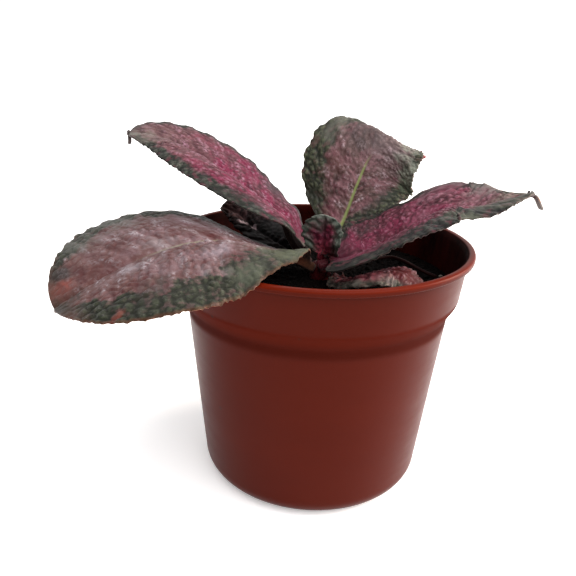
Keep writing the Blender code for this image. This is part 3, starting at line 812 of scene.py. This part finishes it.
def midrib_frame(leaf):
    """The midrib's points with its left and upward directions, and its length."""
    line, length = smooth_line(leaf["midrib"], MIDRIB_STEPS)
    reach = max(1, round(MIDRIB_STEPS * leaf.get("ease", 0) / 2))
    place, last = np.arange(MIDRIB_STEPS), MIDRIB_STEPS - 1
    forward = unit(line[np.minimum(place + reach, last)] - line[np.maximum(place - reach, 0)])
    hint = np.array(leaf["left"], float)
    left = unit(hint - (forward @ hint)[:, None] * forward)
    up = np.cross(forward, left)
    turn = np.radians(along(leaf["turn"], place / last))[:, None]
    turned_left = left * np.cos(turn) + up * np.sin(turn)
    turned_up = up * np.cos(turn) - left * np.sin(turn)
    return line, turned_left, turned_up, length


def half_widths(leaf, s, u):
    """The distance from midrib to margin: a slim stalk, then an oval blade with a drawn-out tip."""
    v = np.clip((s - leaf["stalk"]) / (1 - leaf["stalk"]), 0, 1)
    full, taper = np.where(u >= 0, *leaf["fullness"]), np.where(u >= 0, *leaf["taper"])
    widest = (full / (full + taper)) ** full * (taper / (full + taper)) ** taper
    inside = np.minimum(v / (1 - leaf.get("tail", 0)), 1)
    oval = inside**full * (1 - inside) ** taper / widest
    slim = STALK_RADIUS + (leaf["tip"] - STALK_RADIUS) * v * v * (3 - 2 * v)
    return np.hypot(slim, np.where(u >= 0, *leaf["half_width"]) * oval), oval, v


def blade_surface(leaf):
    """The blade's smooth upper face, whose rows slant forward to the margins as side veins do.

    With the face and its normals come, for each point, its row t, its place u from the right
    margin to the left, its place s along the midrib, the half width there, how full the blade
    is and its place v along the blade, each place as a share, and at last the leaf's length.
    """
    line, left, up, length = midrib_frame(leaf)
    rows = int(length / FACE_SIZE)
    columns = int(sum(leaf["half_width"]) / FACE_SIZE) // 2 * 2 + 1
    t = np.linspace(0, 1, rows)[:, None]
    u = np.linspace(-1, 1, columns)[None, :]
    s = t + VEIN_SLANT * np.abs(u) * t * (1 - t)
    even = np.linspace(0, 1, len(line))

    def at(values):
        return np.stack([np.interp(s, even, values[:, k]) for k in range(3)], axis=-1)

    width, blade, v = half_widths(leaf, s, u)
    lobe = -np.cos(2 * math.pi * leaf["lobes"] * t) / 2
    tooth = np.cos(2 * math.pi * TEETH_PER_LOBE * leaf["lobes"] * t) * CRENATION
    on_blade = np.clip(2 * blade - 0.3, 0, 1)
    width = width + (SCALLOP * lobe + tooth) * np.abs(u) ** 3 * on_blade
    across = np.zeros_like(s)
    rise = np.zeros_like(s)
    for side, mask in ((0, u >= 0), (1, u < 0)):
        lift = np.radians(along(leaf["lift"][side], s))
        curl = np.radians(along(leaf["curl"][side], s)) * blade
        curl = np.where(np.abs(curl) < 1e-4, 1e-4, curl)
        out = width * (np.sin(lift) - np.sin(lift - curl * np.abs(u))) / curl
        high = width * (np.cos(lift - curl * np.abs(u)) - np.cos(lift)) / curl
        across += np.where(mask, np.sign(u) * out, 0)
        rise += np.where(mask, high, 0)
    surface = at(line) + across[..., None] * unit(at(left)) + rise[..., None] * unit(at(up))
    normals = unit(np.cross(np.gradient(surface, axis=0), np.gradient(surface, axis=1)))
    return surface, normals, t, u, s, width, blade, v, length


def leaf_faces(grid, edge):
    """Quads for both faces of a leaf and its rounded edge, with each quad's material number."""
    a, b = grid[:-1, :-1].ravel(), grid[:-1, 1:].ravel()
    c, d = grid[1:, 1:].ravel(), grid[1:, :-1].ravel()
    top = np.stack([a, d, c, b], axis=1)
    bottom = np.stack([a, b, c, d], axis=1) + grid.size
    rim = 2 * grid.size + np.arange(len(edge))
    after, rim_after = np.roll(edge, -1), np.roll(rim, -1)
    upper = np.stack([after, edge, rim, rim_after], axis=1)
    lower = np.stack([rim_after, rim, edge + grid.size, after + grid.size], axis=1)
    faces = np.vstack([top, upper, bottom, lower])
    numbers = np.r_[np.zeros(len(top) + len(upper)), np.ones(len(bottom) + len(lower))]
    return faces, numbers.astype(np.int32)


def leaf_shell(top, bottom):
    """A leaf's points and faces with a rounded edge, its material numbers and its edge points."""
    rows, columns = top.shape[:2]
    grid = np.arange(rows * columns).reshape(rows, columns)
    edge = np.r_[grid[:, 0], grid[-1, 1:], grid[-2::-1, -1], grid[0, -2:0:-1]]
    inner = grid[1:-1, 1:-1][np.clip(edge // columns - 1, 0, rows - 3),
                             np.clip(edge % columns - 1, 0, columns - 3)]
    middle = (top + bottom).reshape(-1, 3) / 2
    rim = middle[edge] + RIM_BULGE * unit(middle[edge] - middle[inner])
    points = np.vstack([top.reshape(-1, 3), bottom.reshape(-1, 3), rim])
    return points, *leaf_faces(grid, edge), edge


def leaf_cushions(look, across, lengthwise, from_stalk, from_margin, seed):
    """The cushions between the small veins, from 0 to 1, and how high they stand or sink."""
    left = across > 0
    sway = CUSHION_SWAY * (drift(across, lengthwise, SWAY_SPACING, seed + 5) - 0.5)
    slide = CUSHION_SWAY * (drift(across, lengthwise, SWAY_SPACING, seed + 9) - 0.5)
    on_band = np.clip(np.where(left, *look["band"]) - from_margin, 0, np.abs(across))
    row = across - np.sign(across) * on_band * (1 - np.where(left, *look["bead"]))
    cushion = cushions(0.8 * row + sway, from_stalk + slide, look["cell"], seed)
    small = cushions(0.8 * row - slide, from_stalk + sway, 0.5 * look["cell"], seed + 3)
    at_rim = np.where(left, *look["rim_swell"]) * np.clip(1 - from_margin / RIM_SWELL_WIDTH, 0, 1)
    swell = 0.2 + 1.4 * drift(across, lengthwise, SWELL_SPACING, seed + 13) + at_rim
    swell = np.maximum(swell, 0.1)
    return cushion, look["bump"] * swell * (cushion - 0.5 + 0.2 * (small - 0.5))


def make_leaf(name, seed):
    """One leaf: a quilted upper face, a lower face with its keel, and a finish for each."""
    leaf, look = LEAVES[name], LOOKS[name]
    surface, normals, t, u, s, width, blade, v, length = blade_surface(leaf)
    across, lengthwise, from_stalk = u * width, t * length + 0 * u, s * length
    from_margin = (1 - np.abs(u)) * width
    cushion, height = leaf_cushions(look, across, lengthwise, from_stalk, from_margin, seed)
    bank = -np.cos(2 * math.pi * leaf["lobes"] * t)
    groove = np.exp(-(across / MIDRIB_HALF_WIDTH) ** 2)
    side_vein = np.clip(-4 * bank - 3, 0, 1) * (1 - groove)
    on_blade = np.clip(2.5 * blade, 0, 1)
    relief = ((QUILT * bank * blade + on_blade * height) * (1 - groove)
              - on_blade * (MIDRIB_GROOVE * groove + SIDE_VEIN_GROOVE * side_vein))
    top = surface + relief[..., None] * normals
    rib = RIB_DEPTH * (1 - s) ** 1.2 * np.exp(-((across / RIB_HALF_WIDTH) ** 2))
    thick = BLADE + (MARGIN_THICKNESS - BLADE) * np.abs(u) ** 4 * on_blade
    bottom = top - (thick + rib)[..., None] * normals
    points, faces, numbers, edge = leaf_shell(top, bottom)
    materials = [blade_finish(name + " upper face", look),
                 underside_finish(name + " lower face", look)]
    piece = new_piece(name + "_quilted", points, faces, materials, name)
    piece.data.polygons.foreach_set("material_index", numbers)

    def both(values):
        """Values of the upper face for the points of both faces and of the edge."""
        values = np.broadcast_to(values, across.shape).ravel()
        return np.r_[values, values, values[edge]]

    kept = {"across": u, "blade_along": v, "from_midrib": np.abs(across), "from_margin": from_margin,
            "cushion": cushion * on_blade * (1 - 0.8 * side_vein)}
    for key, values in kept.items():
        keep_value(piece.data, key, both(values))
    for key, values in {"vein_mm": lengthwise, "leaf_mm": from_stalk}.items():
        keep_vector(piece.data, key, np.stack([both(across), both(values), both(0)], axis=-1))
    return piece


# Pot

def rounded(corners, steps=5):
    """A profile through (radius, height, rounding) corners, each eased off within its rounding."""
    line = [corners[0][:2]]
    for before, corner, after in zip(corners, corners[1:], corners[2:]):
        here = np.array(corner[:2], float)
        if corner[2] == 0:
            line.append(tuple(here))
            continue
        start = here + corner[2] * unit(np.array(before[:2], float) - here)
        end = here + corner[2] * unit(np.array(after[:2], float) - here)
        for t in np.linspace(0, 1, steps):
            line.append(tuple((1 - t) ** 2 * start + 2 * t * (1 - t) * here + t * t * end))
    line.append(corners[-1][:2])
    return line


def floor_corners(inset, rise):
    """The stepped floor from the axis to the foot's arc, moved in and up from the underside."""
    ring = FOOT_RADIUS - FOOT_ROUND
    return [
        (0, rise, 0),
        (CENTRE_PAD_RADIUS - inset, rise, FLOOR_ROUND),
        (CENTRE_PAD_RADIUS + FLOOR_RECESS - inset, FLOOR_RECESS + rise, FLOOR_ROUND),
        (ring - STANDING_RING_WIDTH - FLOOR_RECESS + inset, FLOOR_RECESS + rise, FLOOR_ROUND),
        (ring - STANDING_RING_WIDTH + inset, rise, FLOOR_ROUND),
    ]


def wall_corners(inset):
    """The side from the foot's arc to the collar's foot, moved in by the inset."""
    slope = inset * SHOULDER_SHIFT
    centre, radius = FOOT_RADIUS - FOOT_ROUND, FOOT_ROUND - inset
    foot = [(centre + radius * math.cos(angle), FOOT_ROUND + radius * math.sin(angle), 0)
            for angle in np.radians(range(-90, 1, 9))]
    return foot + [
        (BODY_TOP_RADIUS - inset, BODY_TOP + slope, SHOULDER_ROUND),
        (COLLAR_FOOT_RADIUS - inset, COLLAR_FOOT + slope, COLLAR_ROUND),
    ]


def pot_corners():
    """The pot's outline: the underside, the side, the lip, and down the inside to the axis."""
    under_lip = POT_HEIGHT - LIP_DEPTH
    lip = [
        (COLLAR_TOP_RADIUS, under_lip, 0.3),
        (LIP_RADIUS, under_lip, LIP_ROUND * 0.6),
        (LIP_RADIUS, POT_HEIGHT, LIP_ROUND),
        (LIP_RADIUS - LIP_WIDTH, POT_HEIGHT, LIP_ROUND),
        (COLLAR_TOP_RADIUS - WALL, under_lip, 0.5),
    ]
    inside = floor_corners(WALL * SHOULDER_SHIFT, WALL) + wall_corners(WALL)
    return floor_corners(0, 0) + wall_corners(0) + lip + inside[::-1]


def turned_piece(profile, sides):
    """Points and faces of a profile turned about Z, whose two ends lie on the axis."""
    angles = 2 * math.pi * np.arange(sides) / sides
    body = np.array(profile[1:-1], float)
    x = body[:, :1] * np.cos(angles)
    y = body[:, :1] * np.sin(angles)
    z = body[:, 1:] + 0 * angles
    return closed_tube((0, 0, profile[0][1]), np.stack([x, y, z], axis=-1), (0, 0, profile[-1][1]))


def pot_finish():
    """Satin moulded plastic: a warm brown red with soft flow marks, fine grain and a few specks.

    The top of the lip is lighter and more orange as a painted highlight. The crease under the collar is
    darker as painted shade, and duller, and so is the lip's inner face just below its top.
    """
    material, tree, shader = new_material("brown red pot plastic", Specular_IOR_Level=0.05)
    place = object_place(tree)
    height = put(tree, "ShaderNodeSeparateXYZ", {0: place}, out="Z")

    def above(low, high):
        """0 below one height in millimetres and 1 above the other."""
        return step_up(tree, height, MM * low, MM * high)

    flow = noise(tree, stretched(tree, place, (30.0, 30.0, 90.0)), 1.0, 3.0, 0.5)
    above_foot = above(BODY_TOP - 4.0, BODY_TOP - 1.4)
    # Painted shade: a darker band in the crease under the collar, where the collar's overhang shades the
    # pot.
    painted_collar_shade = maths(tree, "SUBTRACT", above_foot, above(BODY_TOP - 0.8, BODY_TOP + 3.0))
    flat = stretched(tree, place, (1.0, 1.0, 0.0))
    radius = put(tree, "ShaderNodeVectorMath", {0: flat}, out="Value", operation="LENGTH")
    # Painted shade: the lip's inner face just below its top is darker, and duller.
    inside = MM * (LIP_RADIUS - LIP_WIDTH)
    damp = times(tree, step_down(tree, radius, inside, inside + 0.5 * MM),
                 above(POT_HEIGHT - 3.3, POT_HEIGHT - 1.3))
    specks = place_group(tree, SPECKS, {
        "Place": place, "Speck Scale": 160.0, "Speck Core": 0.06, "Speck Edge": 0.12,
        "Area Scale": 60.0, "Area Low": 0.62, "Area High": 0.7})["Specks"]
    # Painted shade under the collar and on the lip's inner face, and a painted highlight along the top of
    # the lip; the specks are the plastic's own.
    colour = layered(tree, blend(tree, flow, PLASTIC["red"], PLASTIC["light"]), [
        (painted_collar_shade, PLASTIC["painted_collar_shade"], 0.5),
        (above(POT_HEIGHT - 1.1, POT_HEIGHT - 0.3), PLASTIC["rim"], 0.5),
        (damp, PLASTIC["damp"], 0.8),
        (specks, PLASTIC["specks"]),
    ])
    scuffs = noise(tree, stretched(tree, place, (60.0, 60.0, 220.0)), 1.0, 4.0, 0.7)
    rough = maths(tree, "MULTIPLY_ADD", scuffs, 0.22, 0.24)
    slope = maths(tree, "SUBTRACT", above_foot, above(COLLAR_FOOT, COLLAR_FOOT + 1.5))
    rough = maths(tree, "MULTIPLY_ADD", maths(tree, "MAXIMUM", slope, damp), 0.5, rough)
    finish_shader(tree, shader, colour, rough, noise(tree, place, 2600.0, 2.0, 0.6), 0.25, 0.03)
    return material


def stained_shaded_finish():
    """The pot's inner face, darkened partly by peat stains and partly as painted shade inside the pot."""
    material, tree, shader = new_material("peat stained and shaded pot plastic", Specular_IOR_Level=0.02)
    place = object_place(tree)
    # The dark clouds are partly peat stains and partly painted shade.
    stain_and_shade_clouds = noise(tree, stretched(tree, place, (90.0, 90.0, 30.0)), 1.0, 4.0, 0.65)
    dark = step_up(tree, stain_and_shade_clouds, 0.35, 0.7)
    colour = blend(tree, dark, STAINED_SHADED_PLASTIC["red"], STAINED_SHADED_PLASTIC["dark"])
    dirt = place_group(tree, SPECKS, {
        "Place": place, "Speck Scale": 240.0, "Speck Core": 0.1, "Speck Edge": 0.22,
        "Area Scale": 70.0, "Area Low": 0.56, "Area High": 0.66})["Specks"]
    colour = tint(tree, colour, dirt, STAINED_SHADED_PLASTIC["dirt"])
    finish_shader(tree, shader, colour, maths(tree, "MULTIPLY_ADD", stain_and_shade_clouds, 0.4, 0.4))
    return material


def drain_cutter(index):
    """A round bar where one of the drain holes goes through the floor."""
    form = bmesh.new()
    bmesh.ops.create_cone(form, cap_ends=True, segments=DRAIN_CUTTER_SIDES,
                          radius1=MM * DRAIN_HOLE_RADIUS, radius2=MM * DRAIN_HOLE_RADIUS,
                          depth=MM * DRAIN_CUTTER_DEPTH)
    mesh = bpy.data.meshes.new(f"drain_cutter_{index}")
    form.to_mesh(mesh)
    form.free()
    cutter = stand(mesh.name, mesh)
    angle = 2 * math.pi * (index + 0.5) / DRAIN_HOLES
    cutter.location = (MM * DRAIN_CIRCLE_RADIUS * math.cos(angle),
                       MM * DRAIN_CIRCLE_RADIUS * math.sin(angle), MM * FLOOR_RECESS)
    return cutter


def cut_drain_holes(piece):
    """Cuts the drain holes and gives the piece the mesh that is left."""
    cutters = [drain_cutter(index) for index in range(DRAIN_HOLES)]
    for cutter in cutters:
        piece.modifiers.new(cutter.name, "BOOLEAN").object = cutter
    bpy.context.view_layer.update()
    cut = piece.evaluated_get(bpy.context.evaluated_depsgraph_get())
    cut = bpy.data.meshes.new_from_object(cut)
    piece.modifiers.clear()
    piece.data = cut
    for cutter in cutters:
        bpy.data.objects.remove(cutter)


def make_pot():
    """The pot in one moulding, with its drain holes and a darker face inside above the soil, partly peat
    stains and partly painted shade.
    """
    points, faces = turned_piece(rounded(pot_corners()), POT_SIDES)
    finishes = [pot_finish(), stained_shaded_finish()]
    piece = new_piece("pot_moulded", points, faces, finishes, "pot")
    cut_drain_holes(piece)
    for face in piece.data.polygons:
        radius = math.hypot(face.center.x, face.center.y) / MM
        lining = (radius < LIP_RADIUS - LIP_WIDTH - 0.05
                  and face.center.z / MM > SOIL_LEVEL - LINING_BELOW_SOIL)
        face.material_index = 1 if lining and face.normal.xy.dot(face.center.xy) < 0 else 0
    piece.data.shade_smooth()
    piece.data.set_sharp_from_angle(angle=math.radians(SHARP_ANGLE))
    return piece


# Soil

def soil_lumps():
    """The smooth rise and fall of the soil, the same as in the solid."""
    rng = random.Random(SOIL_SEED)
    waves = [(rng.uniform(0.12, 0.45), rng.uniform(0, 2 * math.pi), rng.uniform(0, 2 * math.pi))
             for _ in range(SOIL_WAVES)]

    def height(x, y):
        total = 0
        for pitch, heading, phase in waves:
            total = total + np.sin(pitch * (x * math.cos(heading) + y * math.sin(heading)) + phase)
        return SOIL_LUMP * total / len(waves)

    return height


def peat_height(x, y):
    """The soil's top surface: the solid's rise and fall with crumbs of two sizes on it."""
    lump = 0.5 + 0.5 * scatter(np.floor(x / PEAT_LUMP), np.floor(y / PEAT_LUMP), 5)
    coarse = cushions(x, y, PEAT_LUMP, 41) * lump
    fine = cushions(x, y, PEAT_CRUMB, 43)
    return SOIL_LEVEL + soil_lumps()(x, y) + PEAT_ROUGHNESS * (0.6 * coarse + 0.4 * fine - 0.5)


def peat_finish():
    """Nearly black peat with fine crumb and a few light fibres."""
    material, tree, shader = new_material("damp peat", Specular_IOR_Level=0.04)
    place = object_place(tree)
    crumb = noise(tree, place, 900.0, 4.0, 0.7)
    fibre = noise(tree, stretched(tree, place, (300.0, 1500.0, 600.0)), 1.0, 3.0, 0.6)
    colour = blend(tree, step_up(tree, crumb, 0.4, 0.7), PEAT["dark"], PEAT["light"])
    colour = tint(tree, colour, step_up(tree, fibre, 0.66, 0.74), PEAT["fibre"])
    rough = maths(tree, "MULTIPLY_ADD", crumb, 0.4, 0.55)
    finish_shader(tree, shader, colour, rough, crumb, 0.9, 0.4)
    return material


def perlite_finish():
    """Pale grains with darker pores."""
    material, tree, shader = new_material("perlite", Specular_IOR_Level=0.3)
    pores = noise(tree, object_place(tree), 1800.0, 3.0, 0.6)
    colour = blend(tree, pores, GRAINS["dark"], GRAINS["light"])
    finish_shader(tree, shader, colour, maths(tree, "MULTIPLY_ADD", pores, 0.2, 0.7))
    return material


def make_soil(peat):
    """The soil: the pot's inside turned once more, a rough top, and the hole for the stem."""
    outer = rounded(floor_corners(WALL * SHOULDER_SHIFT, WALL + GAP) + wall_corners(WALL + GAP))
    collar_slope = (COLLAR_TOP_RADIUS - COLLAR_FOOT_RADIUS) / (POT_HEIGHT - LIP_DEPTH - COLLAR_FOOT)
    edge = COLLAR_FOOT_RADIUS - WALL - GAP + collar_slope * (SOIL_LEVEL - COLLAR_FOOT)
    hole = STEM_RADIUS + GAP
    profile = outer + [(edge, SOIL_LEVEL - 0.4)]
    tops = len(profile) - 1
    profile += [(radius, SOIL_LEVEL) for radius in np.linspace(edge - 0.5, hole, SOIL_RINGS)]
    profile += [(hole, STEM_HOLE_FLOOR), (0, STEM_HOLE_FLOOR)]
    points, faces = turned_piece(profile, SOIL_SIDES)
    first = 1 + tops * SOIL_SIDES
    last = first + SOIL_RINGS * SOIL_SIDES
    radius = np.hypot(points[first:, 0], points[first:, 1])
    near_hole = np.clip((STEM_HOLE_REACH - radius) / (STEM_HOLE_REACH - hole), 0, 1)
    points[first:, :2] += near_hole[:, None] * np.array(STEM_AT)
    top = points[first:last]
    from_stem = np.hypot(top[:, 0] - STEM_AT[0], top[:, 1] - STEM_AT[1])
    fade = (np.clip((from_stem - hole) / LEVEL_AT_STEM, 0, 1)
            * np.clip((edge - radius[:len(top)]) / LEVEL_AT_WALL, 0.3, 1))
    top[:, 2] = SOIL_LEVEL + fade * (peat_height(top[:, 0], top[:, 1]) - SOIL_LEVEL)
    return new_piece("soil_peat", points, faces, [peat], "soil")


def lump(rng, radius):
    """Points and faces of a small closed lump, round and knobbly."""
    form = bmesh.new()
    bmesh.ops.create_icosphere(form, subdivisions=2, radius=1.0)
    squash = (rng.uniform(0.6, 1.3), rng.uniform(0.6, 1.3), rng.uniform(0.5, 0.9))
    turn = rng.uniform(0, 2 * math.pi)
    points = []
    for vertex in form.verts:
        x, y, z = vertex.co
        knobs = 0.18 * math.sin(5 * x + turn) * math.cos(4 * y)
        swell = radius * (1 + knobs + rng.uniform(-0.08, 0.08))
        x, y, z = x * squash[0] * swell, y * squash[1] * swell, z * squash[2] * swell
        points.append((x * math.cos(turn) - y * math.sin(turn),
                       x * math.sin(turn) + y * math.cos(turn), z))
    faces = [tuple(vertex.index for vertex in face.verts) for face in form.faces]
    form.free()
    return points, faces


def scatter_lumps(name, count, sizes, material, seed):
    """Loose lumps that lie half sunk in the soil, clear of the wall and the stem."""
    rng = random.Random(seed)
    points, faces = [], []
    for _ in range(count):
        size = rng.uniform(*sizes)
        distance = math.sqrt(rng.uniform(LOOSE_FROM**2, LOOSE_TO**2))
        heading = rng.uniform(0, 2 * math.pi)
        x, y = distance * math.cos(heading), distance * math.sin(heading)
        ground = float(peat_height(np.array([x]), np.array([y]))[0])
        some, sides = lump(rng, size)
        start = len(points)
        points += [(x + a, y + b, ground + 0.1 * size + c) for a, b, c in some]
        faces += [tuple(start + k for k in side) for side in sides]
    return new_piece(name, points, faces, [material], None)


# Stem and runner

def stem_finish(name, look):
    """A dull skin with clouds of two colours and a short pale nap."""
    material, tree, shader = new_material(
        name, Specular_IOR_Level=0.12, Sheen_Weight=0.03, Sheen_Roughness=0.4)
    place = object_place(tree)
    nap = noise(tree, place, 3600.0, 2.0, 0.6)
    colour = blend(tree, noise(tree, place, 700.0, 3.0, 0.6), look["dark"], look["light"])
    colour = tint(tree, colour, step_up(tree, nap, 0.6, 0.78), look["nap"], 0.4)
    rough = maths(tree, "MULTIPLY_ADD", nap, 0.3, 0.4)
    finish_shader(tree, shader, colour, rough, nap, 0.6, 0.12)
    return material


def make_stem(finish):
    """The short stem, slightly dented, from its foot in the soil to its rounded top."""
    corners = [
        (0, STEM_FOOT, 0),
        (STEM_RADIUS * 0.7, STEM_FOOT, 0.4),
        (STEM_RADIUS * 0.95, SOIL_LEVEL - 4, 0.8),
        (STEM_RADIUS, SOIL_LEVEL + 1, 0.8),
        (STEM_RADIUS * 0.95, STEM_TOP - 1.6, 0.8),
        (STEM_RADIUS * 0.6, STEM_TOP - 0.4, 0.5),
        (0, STEM_TOP, 0),
    ]
    points, faces = turned_piece(rounded(corners, 8), STEM_SIDES)
    angle = np.arctan2(points[:, 1], points[:, 0])
    dent = STEM_DENT * (cushions(3 * angle, points[:, 2], 1.3, 9) - 1)
    points[:, :2] *= 1 + dent[:, None]
    points[:, :2] += STEM_AT
    return new_piece("stem_bark", points, faces, [finish], "stem")


def make_runner(finish):
    """The runner: a thin tube along its route, a little thicker and thinner by turns."""
    line, _ = smooth_line(RUNNER_ROUTE, RUNNER_STEPS)
    forward = unit(np.gradient(line, axis=0))
    side = unit(np.cross(forward, (0.0, 0.0, 1.0)))
    above = np.cross(side, forward)
    angles = (2 * math.pi * np.arange(RUNNER_SIDES) / RUNNER_SIDES)[:, None]
    swell = RUNNER_RADIUS * (0.94 + 0.06 * np.cos(np.linspace(0, 19, RUNNER_STEPS)))
    ring = side[:, None] * np.cos(angles) + above[:, None] * np.sin(angles)
    points, faces = closed_tube(line[0], line[:, None] + swell[:, None, None] * ring, line[-1])
    return new_piece("runner_hairy", points, faces, [finish], "runner")


# Stage, light and camera

def make_stage():
    """A pale floor, and a white background whose light is dimmer at the front."""
    mesh = bpy.data.meshes.new("floor")
    corners = [(-1, -1), (1, -1), (1, 1), (-1, 1)]
    mesh.from_pydata([(FLOOR_REACH * x, FLOOR_REACH * y, 0) for x, y in corners], [], [(0, 1, 2, 3)])
    material, _, _ = new_material("pale floor", Base_Color=FLOOR_WHITE, Roughness=0.9,
                                  Specular_IOR_Level=0.0, Emission_Strength=FLOOR_GLOW)
    mesh.materials.append(material)
    floor = stand("floor", mesh)
    world = bpy.data.worlds.new("white studio")
    bpy.context.scene.world = world
    world.use_nodes = True
    tree = world.node_tree
    direction = put(tree, "ShaderNodeTexCoord", out="Generated")
    back = put(tree, "ShaderNodeSeparateXYZ", {0: direction}, out="Y")
    colour = mix(tree, step_up(tree, back, -0.4, 0.55), FRONT_LIGHT, BACKGROUND)
    seen = put(tree, "ShaderNodeLightPath", out="Is Camera Ray")
    colour = mix(tree, seen, colour, BACKGROUND)
    tree.links.new(colour, tree.nodes["Background"].inputs["Color"])


def make_lights():
    """An overhead light with a wide soft edge, and a warm softbox at the right."""
    sky = bpy.data.lights.new("overhead light", "SUN")
    sky.energy = SUN_POWER
    sky.angle = math.radians(SUN_SPREAD)
    lamp = stand("overhead light", sky)
    lamp.rotation_euler = (math.radians(SUN_TILT), math.radians(SUN_TILT), 0)
    box = bpy.data.lights.new("right softbox", "AREA")
    box.shape = "DISK"
    box.size = SOFTBOX_SIZE
    box.energy = SOFTBOX_POWER
    box.color = SOFTBOX_COLOUR
    lamp = stand("right softbox", box)
    lamp.location = SOFTBOX_AT
    x, y, z = np.subtract(SOFTBOX_AIM, SOFTBOX_AT)
    lamp.rotation_euler = (math.atan2(math.hypot(x, y), -z), 0, math.atan2(-x, y))


def make_camera():
    """The photograph's view of the pot, fitted to the pot's outline."""
    data = bpy.data.cameras.new("camera")
    data.sensor_width = SENSOR
    data.lens = SENSOR * CAMERA_FOCUS_PIXELS / PHOTO_PIXELS
    data.clip_start = 0.01
    data.clip_end = 50.0
    camera = stand("camera", data)
    camera.location = (0, -MM * CAMERA_DISTANCE, MM * CAMERA_HEIGHT)
    aim = Euler((math.pi / 2 - CAMERA_TILT, 0, -CAMERA_TURN)).to_matrix()
    camera.rotation_euler = (aim @ Matrix.Rotation(CAMERA_ROLL, 3, "Z")).to_euler()
    bpy.context.scene.camera = camera


for number, leaf_name in enumerate(LEAVES):
    make_leaf(leaf_name, 11 * number + 1)
make_pot()
peat_material = peat_finish()
make_soil(peat_material)
scatter_lumps("soil_crumbs", CRUMBS, CRUMB_SIZES, peat_material, seed=21)
scatter_lumps("soil_perlite", PERLITE, PERLITE_SIZES, perlite_finish(), seed=22)
make_stem(stem_finish("dark red stem", STEM))
# The runner's darker colours are painted shade.
make_runner(stem_finish("red brown runner", RUNNER))
make_stage()
make_lights()
make_camera()
bpy.context.scene.view_settings.view_transform = "Standard"
